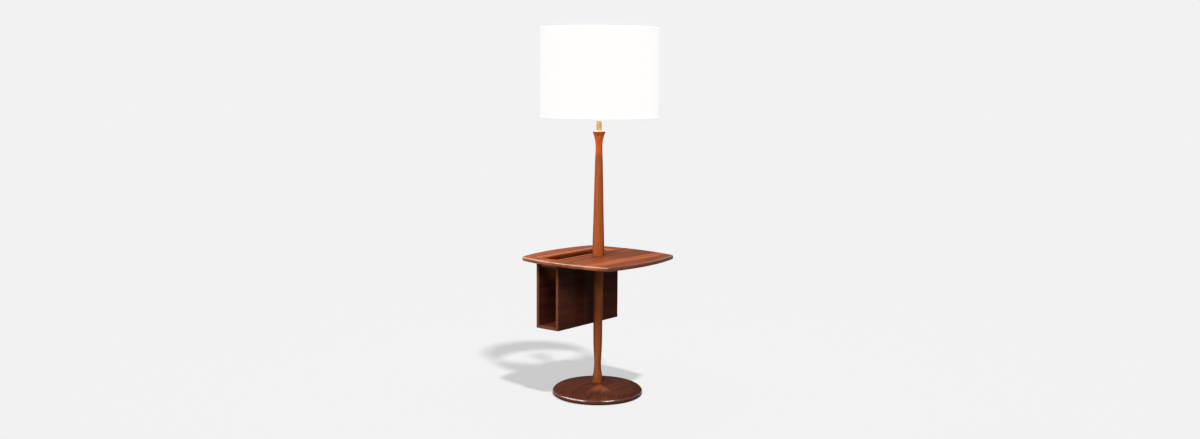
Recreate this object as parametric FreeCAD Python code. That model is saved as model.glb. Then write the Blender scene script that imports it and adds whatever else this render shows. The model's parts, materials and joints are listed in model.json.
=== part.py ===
import FreeCAD, Part
import math
import os

from FreeCAD import Vector

# Floor lamp with a table and a magazine rack. Millimetres, +Z up. The origin is on the floor under the pole.
# The rack hangs on the -X side of the pole and runs along Y; everything is symmetric about the plane Y = 0.

# Overall sizes
LAMP_HEIGHT = 1358.9
TABLE_WIDTH = 457.2
TABLE_SURFACE_Z = 520.7
SHADE_DIAMETER = 431.8
SHADE_HEIGHT = 336.55
BASE_DIAMETER = 334.4

# Clearances
THREAD_CLEARANCE = 0.05
FIT_CLEARANCE = 0.3
TURNING_CLEARANCE = 0.08
REST_GAP = 0.2
EDGE_TOLERANCE = 0.01

# Base: felt, turned disc, weight and its fastening
FELT_THICKNESS = 2.0
FELT_MARGIN = 3.0
BASE_FOOT_INSET = 4.2
BASE_BAND_LOW = 9.0
BASE_BAND_HIGH = 14.0
BASE_SHOULDER_INSET = 10.1
BASE_SHOULDER_Z = 30.0
BASE_SEAT_Z = 46.0
BASE_DOME_BOW = 2.6
RECESS_RADIUS = 120.0
RECESS_CEILING_Z = 30.0
WEIGHT_THICKNESS = 14.0
WEIGHT_EDGE_ROUND = 1.5
WASHER_RADIUS = 16.0
WASHER_THICKNESS = 1.5
LOCK_WASHER_RADIUS = 8.5
LOCK_WASHER_THICKNESS = 1.2
LOCK_WASHER_SLIT = 1.4
NUT_ACROSS_FLATS = 15.0
NUT_HEIGHT = 5.0
PIPE_BELOW_NUT = 1.3

# Cord inlet in the rear of the rim
INLET_Z = 9.0
INLET_BORE_RADIUS = 3.4
BUSHING_RADIUS = 5.0
BUSHING_FLANGE_RADIUS = 6.6
BUSHING_FLANGE_THICKNESS = 2.0
BUSHING_LENGTH = 20.0
PASSAGE_RADIUS = 4.2

# Pipe that ties the lamp together
PIPE_RADIUS = 4.9
PIPE_BORE_RADIUS = 3.4
COUPLING_ACROSS_FLATS = 14.0
COUPLING_LENGTH = 30.0
COUPLING_LIFT = 3.0
COUPLING_MIDDLE_GAP = 1.0

# Lower pole
FOOT_RADIUS = 19.5
FOOT_HEIGHT = 26.0
FOOT_TOP_RADIUS = 17.4
COVE_RADIUS = 14.6
COVE_HEIGHT = 41.0
WAIST_RADIUS = 13.0
WAIST_HEIGHT = 58.0
SHAFT_RADIUS = 14.7
SHAFT_HEIGHT = 112.0
LOWER_POLE_MIDDLE_RADIUS = 16.6
LOWER_POLE_MIDDLE_HEIGHT = 198.0
LOWER_POLE_TOP_RADIUS = 19.0

# Table
TABLE_THICKNESS = 16.0
TABLE_SIDE_BOW = 29.0
TABLE_CORNER_RADIUS = 20.0
TABLE_TOP_ROUND = 4.5
TABLE_UNDER_ROUND = 6.5

# Upper pole and neck piece
UPPER_POLE_FOOT_RADIUS = 21.2
UPPER_POLE_FOOT_ROUND = 1.2
UPPER_POLE_SWELL_RADIUS = 21.4
UPPER_POLE_LOWER_RADIUS = 19.6
UPPER_POLE_MIDDLE_RADIUS = 17.0
UPPER_POLE_TOP_RADIUS = 13.3
SWELL_SHARE = 0.13
LOWER_SHARE = 0.31
MIDDLE_SHARE = 0.63
NECK_HEIGHT = 86.5
NECK_LOW_RADIUS = 13.4
NECK_WAIST_RADIUS = 12.5
NECK_RISE_RADIUS = 14.3
NECK_FLARE_RADIUS = 19.0
NECK_LIP_RADIUS = 23.2
NECK_LIP_HEIGHT = 3.0
NECK_LIP_BOW = 0.75
NECK_WAIST_SHARE = 0.36
NECK_RISE_SHARE = 0.61
NECK_FLARE_SHARE = 0.84
CHECK_RADIUS = 17.5
CHECK_THICKNESS = 3.8
CHECK_EDGE_ROUND = 1.2
NECK_TUBE_LENGTH = 98.3
NECK_TUBE_RADIUS = 9.3
NECK_TUBE_WALL = 0.8

# Harp and its saddle
HARP_HEIGHT = 254.0
HARP_FOOT_Y = 33.0
HARP_WIDEST_Y = 57.0
HARP_UPPER_Y = 53.0
HARP_SHOULDER_Y = 21.0
HARP_WIRE_RADIUS = 1.9
HARP_PLATE_RADIUS = 9.0
HARP_PLATE_THICKNESS = 2.6
HARP_WIDEST_SHARE = 0.38
HARP_UPPER_SHARE = 0.70
HARP_BEND_RADIUS = 60.0
HARP_BEND_REACH = 16.0
HARP_CORNER_RADIUS = 10.0
SADDLE_THICKNESS = 2.0
SADDLE_HUB_RADIUS = 14.0
SADDLE_STRIP_WIDTH = 9.0
PRONG_HEIGHT = 13.0
SLEEVE_LENGTH = 18.0
SLEEVE_WALL = 1.0
SLEEVE_TRAVEL = 12.0
STUD_RADIUS = 3.17
STUD_HEIGHT = 16.0
STUD_RIVET_RADIUS = 4.6
STUD_RIVET_THICKNESS = 1.2

# Lamp socket, heights above the saddle
CAP_HUB_RADIUS = 7.6
CAP_HUB_HEIGHT = 9.0
CAP_RADIUS = 17.2
CAP_HEIGHT = 27.0
CAP_WALL = 0.8
CAP_SHOULDER_BOW = 2.4
SHELL_START = 22.5
SHELL_END = 68.0
SHELL_WALL = 0.5
SHELL_MOUTH_RADIUS = 16.9
LINER_WALL = 0.8
LINER_START = 24.5
LINER_END = 66.0
BODY_START = 26.0
BODY_END = 47.0
SCREW_SHELL_END = 65.0
SCREW_SHELL_WALL = 0.45
SCREW_SHELL_OPENING_RADIUS = 8.4
CENTRE_CONTACT_RADIUS = 4.2
CENTRE_CONTACT_THICKNESS = 1.2
TERMINAL_HEAD_RADIUS = 3.0
TERMINAL_HEAD_THICKNESS = 1.8
TERMINAL_SHANK_RADIUS = 1.5
TERMINAL_SHANK_LENGTH = 5.0
TERMINAL_HEIGHT = 38.0
SET_SCREW_RADIUS = 1.6
SET_SCREW_LENGTH = 6.0
SET_SCREW_SLOT = 0.8
SPINDLE_HEIGHT = 36.0
SPINDLE_RADIUS = 2.0
SPINDLE_DEPTH = 9.0
KNOB_RADIUS = 6.5
KNOB_LENGTH = 13.0
KNOB_STANDOFF = 3.2
KNOB_BORE_DEPTH = 8.0
KNOB_GROOVES = 14
KNOB_GROOVE_RADIUS = 0.7

# Bulb
BULB_LENGTH = 110.0
BULB_RADIUS = 30.0
BULB_NECK_RADIUS = 13.0
BULB_WAIST_RADIUS = 15.0
BULB_SWELL_RADIUS = 25.0
BULB_WAIST_SHARE = 0.25
BULB_SWELL_SHARE = 0.62
BULB_WALL = 0.9
BULB_CAP_RADIUS = 13.1
BULB_CAP_HEIGHT = 25.0
BULB_CAP_WALL = 0.5
THREAD_DEPTH = 0.7
THREAD_PITCH = 3.63
THREAD_TURNS = 4
THREAD_ROOT_WIDTH = 0.9
TIP_RADIUS = 4.5
TIP_HEIGHT = 1.6
TIP_BOW = 0.53
INSULATOR_RADIUS = 9.6
INSULATOR_HEIGHT = 5.0
STEM_RADIUS = 4.0
STEM_SHOULDER_BOW = 2.0
STEM_HEIGHT = 48.0
STEM_FLARE_RADIUS = 10.8
FILAMENT_WIDTH = 22.0
FILAMENT_HEIGHT = 18.0
FILAMENT_WIRE_RADIUS = 0.4
FILAMENT_BEND_RADIUS = 3.0
FILAMENT_LEAD_LENGTH = 6.0

# Shade
SPIDER_DROP = 25.0
SPIDER_HUB_RADIUS = 11.0
SPIDER_HUB_THICKNESS = 3.2
SPIDER_ARMS = 3
SPIDER_LEDGE = 14.0
SHADE_WIRE_RADIUS = 1.6
SHADE_WALL = 1.2
TRIM_THICKNESS = 0.5
TRIM_WIDTH = 8.0

# Finial, heights above the spider
FINIAL_COLLAR_RADIUS = 6.5
FINIAL_COLLAR_HEIGHT = 3.0
FINIAL_COLLAR_BOW = 0.75
FINIAL_NECK_RADIUS = 4.4
FINIAL_NECK_HEIGHT = 6.0
FINIAL_BALL_RADIUS = 7.0
FINIAL_HEIGHT = 20.0

# Magazine rack
RACK_OUTER_X = -148.5
RACK_WIDTH = 105.0
RACK_LENGTH = 351.2
RACK_HEIGHT = 245.9
PANEL_THICKNESS = 12.0
PANEL_EDGE_ROUND = 1.5
SLOT_LEDGE = 12.0
SLOT_INNER_MARGIN = 0.5
SLOT_END_MARGIN = 4.6
SLOT_CORNER_RADIUS = 6.0
SLOT_LIP_ROUND = 7.0
ROD_RADIUS = 3.5
ROD_DROP = 15.7
ROD_INSET = 12.0
ROD_SOCKET = 4.0
DOWEL_RADIUS = 3.0
DOWEL_LENGTH = 20.0
DOWEL_IN_PANEL = 8.0
DOWEL_END_INSET = 45.6
DOWELS_PER_SIDE = 3
BRACKET_LEG = 16.0
BRACKET_WIDTH = 20.0
BRACKET_THICKNESS = 1.6
BRACKET_END_INSET = 55.6
SCREW_RADIUS = 1.6
SCREW_HEAD_RADIUS = 3.2
SCREW_HEAD_THICKNESS = 1.4
SCREW_LENGTH = 9.0

# Places worked out from the sizes
BASE_RADIUS = BASE_DIAMETER / 2
SHADE_RADIUS = SHADE_DIAMETER / 2
BORE_RADIUS = PIPE_RADIUS + FIT_CLEARANCE
THREADED_HOLE_RADIUS = PIPE_RADIUS + THREAD_CLEARANCE
WEIGHT_LOW_Z = RECESS_CEILING_Z - WEIGHT_THICKNESS
WASHER_LOW_Z = WEIGHT_LOW_Z - WASHER_THICKNESS
LOCK_WASHER_LOW_Z = WASHER_LOW_Z - LOCK_WASHER_THICKNESS
NUT_LOW_Z = LOCK_WASHER_LOW_Z - NUT_HEIGHT
PIPE_LOW_Z = NUT_LOW_Z - PIPE_BELOW_NUT
TABLE_UNDER_Z = TABLE_SURFACE_Z - TABLE_THICKNESS
COUPLING_LOW_Z = TABLE_SURFACE_Z + COUPLING_LIFT
COUPLING_HIGH_Z = COUPLING_LOW_Z + COUPLING_LENGTH
COUPLING_MIDDLE_Z = (COUPLING_LOW_Z + COUPLING_HIGH_Z) / 2
COUPLING_BORE_RADIUS = COUPLING_ACROSS_FLATS / math.sqrt(3) + FIT_CLEARANCE

SHADE_LOW_Z = LAMP_HEIGHT - SHADE_HEIGHT
SPIDER_LOW_Z = LAMP_HEIGHT - SPIDER_DROP
SPIDER_HIGH_Z = SPIDER_LOW_Z + SPIDER_HUB_THICKNESS
FINIAL_LOW_Z = SPIDER_HIGH_Z + REST_GAP
HARP_TOP_Z = SPIDER_LOW_Z - REST_GAP
SADDLE_LOW_Z = HARP_TOP_Z - HARP_HEIGHT
SADDLE_HIGH_Z = SADDLE_LOW_Z + SADDLE_THICKNESS
PRONG_HIGH_Z = SADDLE_LOW_Z + PRONG_HEIGHT
SLEEVE_LOW_Z = SADDLE_HIGH_Z + REST_GAP
HARP_LEG_BEND_Z = SLEEVE_LOW_Z + SLEEVE_LENGTH + SLEEVE_TRAVEL + HARP_BEND_REACH
CHECK_HIGH_Z = SADDLE_LOW_Z - NECK_TUBE_LENGTH
CHECK_LOW_Z = CHECK_HIGH_Z - CHECK_THICKNESS
NECK_LOW_Z = CHECK_LOW_Z - NECK_HEIGHT
UPPER_POLE_LENGTH = NECK_LOW_Z - TABLE_SURFACE_Z

SHELL_RADIUS = CAP_RADIUS - CAP_WALL - THREAD_CLEARANCE
LINER_RADIUS = SHELL_RADIUS - SHELL_WALL - THREAD_CLEARANCE
SOCKET_BODY_RADIUS = LINER_RADIUS - LINER_WALL - THREAD_CLEARANCE
SCREW_SHELL_RADIUS = BULB_CAP_RADIUS + FIT_CLEARANCE + SCREW_SHELL_WALL
PIPE_HIGH_Z = SADDLE_HIGH_Z + CAP_HUB_HEIGHT
SPINDLE_Z = SADDLE_HIGH_Z + SPINDLE_HEIGHT
KNOB_START_X = SHELL_RADIUS + KNOB_STANDOFF
BODY_HIGH_Z = SADDLE_HIGH_Z + BODY_END
BULB_TIP_Z = BODY_HIGH_Z + CENTRE_CONTACT_THICKNESS + REST_GAP
BULB_CAP_LOW_Z = BULB_TIP_Z + TIP_HEIGHT + INSULATOR_HEIGHT
BULB_CAP_HIGH_Z = BULB_CAP_LOW_Z + BULB_CAP_HEIGHT
BULB_TOP_Z = BULB_TIP_Z + BULB_LENGTH

SHADE_SHELL_RADIUS = SHADE_RADIUS - TRIM_THICKNESS - THREAD_CLEARANCE
SHADE_WIRE_CENTRE = SHADE_SHELL_RADIUS - SHADE_WALL - THREAD_CLEARANCE - SHADE_WIRE_RADIUS
TRIM_INNER_RADIUS = SHADE_WIRE_CENTRE - SHADE_WIRE_RADIUS - THREAD_CLEARANCE - TRIM_THICKNESS
SHADE_WIRE_INSET = TRIM_THICKNESS + THREAD_CLEARANCE + SHADE_WIRE_RADIUS
TRIM_INNER_WIDTH = TRIM_THICKNESS + 2 * SHADE_WIRE_RADIUS

RACK_INNER_X = RACK_OUTER_X + RACK_WIDTH
RACK_LOW_Z = TABLE_UNDER_Z - RACK_HEIGHT
RACK_FLOOR_Z = RACK_LOW_Z + PANEL_THICKNESS
BAY_OUTER_X = RACK_OUTER_X + PANEL_THICKNESS
BAY_INNER_X = RACK_INNER_X - PANEL_THICKNESS
HALF_RACK = RACK_LENGTH / 2
HALF_SLOT = HALF_RACK - SLOT_END_MARGIN
DOWEL_SPACING = (RACK_LENGTH - 2 * DOWEL_END_INSET) / (DOWELS_PER_SIDE - 1)
BRACKET_Y = HALF_RACK - BRACKET_END_INSET


def cylinder(radius, low, high):
    """Upright round bar on the pole axis, from height low to height high."""
    return Part.makeCylinder(radius, high - low, Vector(0, 0, low))


def tube(outer, inner, low, high):
    """Upright tube on the pole axis."""
    return cylinder(outer, low, high).cut(cylinder(inner, low, high))


def rod(start, end, radius):
    """Round bar from one point to another."""
    return Part.makeCylinder(radius, (end - start).Length, start, end - start)


def box(low, high):
    """Upright box between two opposite corners."""
    size = high - low
    return Part.makeBox(size.x, size.y, size.z, low)


def hexagon_bar(across_flats, low, high):
    """Upright hexagonal bar on the pole axis."""
    corner = across_flats / math.sqrt(3)
    turns = [math.pi * step / 3 for step in range(7)]
    outline = Part.makePolygon([Vector(corner * math.cos(a), corner * math.sin(a), low) for a in turns])
    return Part.Face(outline).extrude(Vector(0, 0, high - low))


def section_point(step):
    """Place of a (radius, height, ...) step in the section plane."""
    return Vector(step[0], 0, step[1])


def section_edge(start, step):
    """Edge of a turned section: a smooth curve through a list of steps, an arc, or a straight line.

    A step's third value is how far the arc's middle stands to the right of its straight line.
    """
    if isinstance(step, list):
        curve = Part.BSplineCurve()
        curve.interpolate([section_point(start)] + [section_point(place) for place in step])
        return curve.toShape()
    first, last = section_point(start), section_point(step)
    if len(step) == 3:
        along = (last - first).normalize()
        middle = (first + last) / 2 + Vector(along.z, 0, -along.x) * step[2]
        return Part.Arc(first, middle, last).toShape()
    return Part.makeLine(first, last)


def turned(steps):
    """Solid turned about the pole axis from its closed section of (radius, height) steps."""
    edges = []
    place = steps[-1]
    for step in steps:
        edges.append(section_edge(place, step))
        place = step[-1] if isinstance(step, list) else step
    solid = Part.Face(Part.Wire(edges)).revolve(Vector(0, 0, 0), Vector(0, 0, 1), 360)
    return solid if solid.Volume > 0 else solid.reversed()


def bent_rod(points, radius, bends):
    """Round wire along straight runs through the points, with a tangent arc of its radius at each bend."""
    path = []
    here = points[0]
    for before, corner, after, bend in zip(points, points[1:], points[2:], bends):
        arriving = (corner - before).normalize()
        leaving = (after - corner).normalize()
        half_turn = arriving.getAngle(leaving) / 2
        reach = bend * math.tan(half_turn)
        inward = (leaving - arriving).normalize()
        middle = corner + inward * (bend / math.cos(half_turn) - bend)
        path.append(Part.makeLine(here, corner - arriving * reach))
        here = corner + leaving * reach
        path.append(Part.Arc(corner - arriving * reach, middle, here).toShape())
    path.append(Part.makeLine(here, points[-1]))
    ring = Part.Wire(Part.makeCircle(radius, points[0], points[1] - points[0]))
    return Part.Wire(path).makePipeShell([ring], True, True)


def is_short(*lengths):
    """Whether every length is nothing but rounding."""
    return all(abs(length) < EDGE_TOLERANCE for length in lengths)


def upright_edges(shape):
    """Straight edges of a shape that run along Z."""
    return [edge for edge in shape.Edges if is_short(edge.BoundBox.XLength, edge.BoundBox.YLength)]


def edges_at(shape, height):
    """Level edges of a shape at one height."""
    return [edge for edge in shape.Edges if is_short(edge.BoundBox.ZLength, edge.BoundBox.ZMin - height)]


def both_sides(shape):
    """A shape and its mirror image across the plane Y = 0, as two solids."""
    return [shape, shape.mirror(Vector(0, 0, 0), Vector(0, 1, 0))]


# ---- base ----

def felt_pad():
    return cylinder(BASE_RADIUS - BASE_FOOT_INSET - FELT_MARGIN, 0, FELT_THICKNESS)


def base_disc():
    """Turned disc: rounded rim, low dome, seat for the pole, recess for the weight, hole for the bushing."""
    low_bow = bow_of_round(BASE_FOOT_INSET, BASE_BAND_LOW - FELT_THICKNESS)
    high_bow = bow_of_round(BASE_SHOULDER_INSET, BASE_SHOULDER_Z - BASE_BAND_HIGH)
    disc = turned([
        (BASE_RADIUS - BASE_FOOT_INSET, FELT_THICKNESS),
        (BASE_RADIUS, BASE_BAND_LOW, low_bow),
        (BASE_RADIUS, BASE_BAND_HIGH),
        (BASE_RADIUS - BASE_SHOULDER_INSET, BASE_SHOULDER_Z, high_bow),
        (FOOT_RADIUS, BASE_SEAT_Z, BASE_DOME_BOW),
        (BORE_RADIUS, BASE_SEAT_Z),
        (BORE_RADIUS, RECESS_CEILING_Z),
        (RECESS_RADIUS, RECESS_CEILING_Z),
        (RECESS_RADIUS, FELT_THICKNESS),
    ])
    passage = rod(Vector(-BASE_RADIUS - BUSHING_LENGTH, 0, INLET_Z),
                  Vector(-RECESS_RADIUS + BUSHING_LENGTH, 0, INLET_Z), PASSAGE_RADIUS)
    return disc.cut(passage).cut(bushing_seat())


def bow_of_round(inset, rise):
    """Bow of an arc that ends upright: it spans inset sideways and rise upwards."""
    chord = math.hypot(inset, rise)
    radius = chord * chord / (2 * inset)
    return radius - math.sqrt(radius * radius - chord * chord / 4)


def bushing_flange_x():
    """Where the rim is cut flat so that the bushing's flange lies on it."""
    return -BASE_RADIUS + BUSHING_FLANGE_THICKNESS


def bushing_seat():
    """Space that the bushing takes out of the rim: a round hole, and a counterbore for the flange."""
    flange_x = bushing_flange_x()
    barrel = rod(Vector(flange_x, 0, INLET_Z), Vector(flange_x + BUSHING_LENGTH, 0, INLET_Z),
                 BUSHING_RADIUS + THREAD_CLEARANCE)
    flange = rod(Vector(-BASE_RADIUS - BUSHING_FLANGE_THICKNESS, 0, INLET_Z), Vector(flange_x, 0, INLET_Z),
                 BUSHING_FLANGE_RADIUS + THREAD_CLEARANCE)
    return barrel.fuse(flange)


def cord_bushing():
    """Plastic bushing that lines the cord's way through the rim."""
    flange_x = bushing_flange_x()
    inner_end = Vector(flange_x + BUSHING_LENGTH, 0, INLET_Z)
    outer_end = Vector(flange_x - BUSHING_FLANGE_THICKNESS, 0, INLET_Z)
    barrel = rod(Vector(flange_x, 0, INLET_Z), inner_end, BUSHING_RADIUS)
    flange = rod(outer_end, Vector(flange_x, 0, INLET_Z), BUSHING_FLANGE_RADIUS)
    return barrel.fuse(flange).removeSplitter().cut(rod(outer_end, inner_end, INLET_BORE_RADIUS))


def base_weight():
    """Cast disc that fills the top of the recess."""
    disc = cylinder(RECESS_RADIUS - FIT_CLEARANCE, WEIGHT_LOW_Z, RECESS_CEILING_Z)
    disc = disc.makeFillet(WEIGHT_EDGE_ROUND, edges_at(disc, WEIGHT_LOW_Z))
    return disc.cut(cylinder(BORE_RADIUS, WEIGHT_LOW_Z, RECESS_CEILING_Z))


def base_washer():
    return tube(WASHER_RADIUS, BORE_RADIUS, WASHER_LOW_Z, WEIGHT_LOW_Z)


def base_lock_washer():
    """Split ring under the washer."""
    ring = tube(LOCK_WASHER_RADIUS, THREADED_HOLE_RADIUS, LOCK_WASHER_LOW_Z, WASHER_LOW_Z)
    slit = box(Vector(0, -LOCK_WASHER_SLIT / 2, LOCK_WASHER_LOW_Z),
               Vector(2 * LOCK_WASHER_RADIUS, LOCK_WASHER_SLIT / 2, WASHER_LOW_Z))
    return ring.cut(slit)


def base_nut():
    bar = hexagon_bar(NUT_ACROSS_FLATS, NUT_LOW_Z, LOCK_WASHER_LOW_Z)
    return bar.cut(cylinder(THREADED_HOLE_RADIUS, NUT_LOW_Z, LOCK_WASHER_LOW_Z))


# ---- poles, table and neck ----

def lower_pipe():
    return tube(PIPE_RADIUS, PIPE_BORE_RADIUS, PIPE_LOW_Z, COUPLING_MIDDLE_Z - COUPLING_MIDDLE_GAP / 2)


def upper_pipe():
    return tube(PIPE_RADIUS, PIPE_BORE_RADIUS, COUPLING_MIDDLE_Z + COUPLING_MIDDLE_GAP / 2, PIPE_HIGH_Z)


def pipe_coupling():
    bar = hexagon_bar(COUPLING_ACROSS_FLATS, COUPLING_LOW_Z, COUPLING_HIGH_Z)
    return bar.cut(cylinder(THREADED_HOLE_RADIUS, COUPLING_LOW_Z, COUPLING_HIGH_Z))


def lower_pole():
    """Turned pole: a foot, a cove into the waist, and a long taper that widens up to the table."""
    return turned([
        (FOOT_RADIUS, BASE_SEAT_Z),
        (FOOT_TOP_RADIUS, BASE_SEAT_Z + FOOT_HEIGHT),
        [(COVE_RADIUS, BASE_SEAT_Z + COVE_HEIGHT), (WAIST_RADIUS, BASE_SEAT_Z + WAIST_HEIGHT),
         (SHAFT_RADIUS, BASE_SEAT_Z + SHAFT_HEIGHT),
         (LOWER_POLE_MIDDLE_RADIUS, BASE_SEAT_Z + LOWER_POLE_MIDDLE_HEIGHT),
         (LOWER_POLE_TOP_RADIUS, TABLE_UNDER_Z)],
        (BORE_RADIUS, TABLE_UNDER_Z),
        (BORE_RADIUS, BASE_SEAT_Z),
    ])


def table_outline():
    """Square with four bowed sides, as a face at the table's underside."""
    half = TABLE_WIDTH / 2
    corner = half - TABLE_SIDE_BOW
    sides = []
    for quarter in range(4):
        turn = FreeCAD.Rotation(Vector(0, 0, 1), 90 * quarter)
        ends = [turn.multVec(Vector(corner, side * corner, TABLE_UNDER_Z)) for side in (-1, 1)]
        middle = turn.multVec(Vector(half, 0, TABLE_UNDER_Z))
        sides.append(Part.Arc(ends[0], middle, ends[1]).toShape())
    return Part.Face(Part.Wire(sides))


def rack_slot():
    """Slot in the table above the rack: it opens onto the outer panel's top edge too."""
    low = Vector(BAY_OUTER_X - SLOT_LEDGE, -HALF_SLOT, TABLE_UNDER_Z)
    high = Vector(BAY_INNER_X - SLOT_INNER_MARGIN, HALF_SLOT, TABLE_SURFACE_Z)
    opening = box(low, high)
    return opening.makeFillet(SLOT_CORNER_RADIUS, upright_edges(opening))


def inside_slot(edge):
    """Whether an edge of the table belongs to the slot."""
    middle = edge.BoundBox.Center
    return BAY_OUTER_X - 2 * SLOT_LEDGE < middle.x < RACK_INNER_X and abs(middle.y) < HALF_RACK


def table_top():
    """Glued-up board with bowed sides, rounded corners and edges, the rack's slot and the pipe's hole."""
    board = table_outline().extrude(Vector(0, 0, TABLE_THICKNESS))
    board = board.makeFillet(TABLE_CORNER_RADIUS, upright_edges(board))
    board = board.makeFillet(TABLE_TOP_ROUND, edges_at(board, TABLE_SURFACE_Z))
    board = board.makeFillet(TABLE_UNDER_ROUND, edges_at(board, TABLE_UNDER_Z))
    board = board.cut(rack_slot())
    lip = [edge for edge in edges_at(board, TABLE_SURFACE_Z) if inside_slot(edge)]
    board = board.makeFillet(SLOT_LIP_ROUND, lip)
    return board.cut(cylinder(BORE_RADIUS, TABLE_UNDER_Z, TABLE_SURFACE_Z))


def upper_pole():
    """Turned pole that tapers up from the table, hollowed at its foot for the coupling."""
    top = (UPPER_POLE_TOP_RADIUS, NECK_LOW_Z)
    pole = turned([
        (UPPER_POLE_FOOT_RADIUS - UPPER_POLE_FOOT_ROUND, TABLE_SURFACE_Z),
        (UPPER_POLE_FOOT_RADIUS, TABLE_SURFACE_Z + UPPER_POLE_FOOT_ROUND,
         bow_of_round(UPPER_POLE_FOOT_ROUND, UPPER_POLE_FOOT_ROUND)),
        [(UPPER_POLE_SWELL_RADIUS, TABLE_SURFACE_Z + SWELL_SHARE * UPPER_POLE_LENGTH),
         (UPPER_POLE_LOWER_RADIUS, TABLE_SURFACE_Z + LOWER_SHARE * UPPER_POLE_LENGTH),
         (UPPER_POLE_MIDDLE_RADIUS, TABLE_SURFACE_Z + MIDDLE_SHARE * UPPER_POLE_LENGTH), top],
        (BORE_RADIUS, NECK_LOW_Z),
        (BORE_RADIUS, COUPLING_HIGH_Z),
        (COUPLING_BORE_RADIUS, COUPLING_HIGH_Z),
        (COUPLING_BORE_RADIUS, TABLE_SURFACE_Z),
    ])
    return pole


def pole_neck():
    """Turned neck piece: a slight waist that flares out to a rounded lip."""
    lip_low_z = CHECK_LOW_Z - NECK_LIP_HEIGHT
    return turned([
        (NECK_LOW_RADIUS, NECK_LOW_Z),
        [(NECK_WAIST_RADIUS, NECK_LOW_Z + NECK_WAIST_SHARE * NECK_HEIGHT),
         (NECK_RISE_RADIUS, NECK_LOW_Z + NECK_RISE_SHARE * NECK_HEIGHT),
         (NECK_FLARE_RADIUS, NECK_LOW_Z + NECK_FLARE_SHARE * NECK_HEIGHT),
         (NECK_LIP_RADIUS, lip_low_z)],
        (NECK_LIP_RADIUS, CHECK_LOW_Z, NECK_LIP_BOW),
        (BORE_RADIUS, CHECK_LOW_Z),
        (BORE_RADIUS, NECK_LOW_Z),
    ])


def check_ring():
    """Thin ring that covers the neck piece's top, with rounded edges."""
    ring = cylinder(CHECK_RADIUS, CHECK_LOW_Z, CHECK_HIGH_Z)
    ring = ring.makeFillet(CHECK_EDGE_ROUND, edges_at(ring, CHECK_HIGH_Z) + edges_at(ring, CHECK_LOW_Z))
    return ring.cut(cylinder(BORE_RADIUS, CHECK_LOW_Z, CHECK_HIGH_Z))


def neck_tube():
    return tube(NECK_TUBE_RADIUS, NECK_TUBE_RADIUS - NECK_TUBE_WALL, CHECK_HIGH_Z, SADDLE_LOW_Z)


# ---- harp ----

def harp_saddle():
    """Strip under the socket with a round hub, and an upright prong at each end that carries the harp."""
    half_width = SADDLE_STRIP_WIDTH / 2
    corner = Vector(half_width, HARP_FOOT_Y, 0)
    strip = box(Vector(0, 0, SADDLE_LOW_Z) - corner, Vector(0, 0, SADDLE_HIGH_Z) + corner)
    plate = strip.fuse(cylinder(SADDLE_HUB_RADIUS, SADDLE_LOW_Z, SADDLE_HIGH_Z))
    for side in (-1, 1):
        foot = Vector(0, side * HARP_FOOT_Y, SADDLE_LOW_Z)
        plate = plate.fuse(Part.makeCylinder(half_width, SADDLE_THICKNESS, foot))
        plate = plate.fuse(Part.makeCylinder(HARP_WIRE_RADIUS, PRONG_HEIGHT, foot))
    return plate.removeSplitter().cut(cylinder(THREADED_HOLE_RADIUS, SADDLE_LOW_Z, SADDLE_HIGH_Z))


def harp():
    """Two bowed legs, from the saddle's prongs up to a round plate."""
    plate_low_z = HARP_TOP_Z - HARP_PLATE_THICKNESS
    wire_z = HARP_TOP_Z - HARP_PLATE_THICKNESS / 2
    leg = bent_rod([
        Vector(0, HARP_FOOT_Y, PRONG_HIGH_Z),
        Vector(0, HARP_FOOT_Y, HARP_LEG_BEND_Z),
        Vector(0, HARP_WIDEST_Y, SADDLE_LOW_Z + HARP_WIDEST_SHARE * HARP_HEIGHT),
        Vector(0, HARP_UPPER_Y, SADDLE_LOW_Z + HARP_UPPER_SHARE * HARP_HEIGHT),
        Vector(0, HARP_SHOULDER_Y, wire_z),
        Vector(0, STUD_RADIUS + STUD_RIVET_THICKNESS, wire_z),
    ], HARP_WIRE_RADIUS, [HARP_BEND_RADIUS, HARP_BEND_RADIUS, HARP_BEND_RADIUS, HARP_CORNER_RADIUS])
    loop = cylinder(HARP_PLATE_RADIUS, plate_low_z, HARP_TOP_Z)
    for side in both_sides(leg):
        loop = loop.fuse(side)
    above = cylinder(HARP_FOOT_Y, HARP_TOP_Z, HARP_TOP_Z + STUD_HEIGHT)
    hole = cylinder(STUD_RADIUS + THREAD_CLEARANCE, plate_low_z - HARP_WIRE_RADIUS, HARP_TOP_Z)
    rivet = cylinder(STUD_RIVET_RADIUS + THREAD_CLEARANCE, plate_low_z - HARP_WIRE_RADIUS, plate_low_z)
    return loop.cut(above).cut(hole).cut(rivet)


def harp_stud():
    """Threaded stud riveted through the harp's plate."""
    plate_low_z = HARP_TOP_Z - HARP_PLATE_THICKNESS
    rivet = cylinder(STUD_RIVET_RADIUS, plate_low_z - STUD_RIVET_THICKNESS, plate_low_z)
    return rivet.fuse(cylinder(STUD_RADIUS, plate_low_z, HARP_TOP_Z + STUD_HEIGHT))


def harp_sleeve():
    """Sleeve around a prong and the harp's leg on the +Y side."""
    inner = HARP_WIRE_RADIUS + FIT_CLEARANCE
    low = Vector(0, HARP_FOOT_Y, SLEEVE_LOW_Z)
    outer = Part.makeCylinder(inner + SLEEVE_WALL, SLEEVE_LENGTH, low)
    return outer.cut(Part.makeCylinder(inner, SLEEVE_LENGTH, low))


# ---- lamp socket ----

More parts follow.
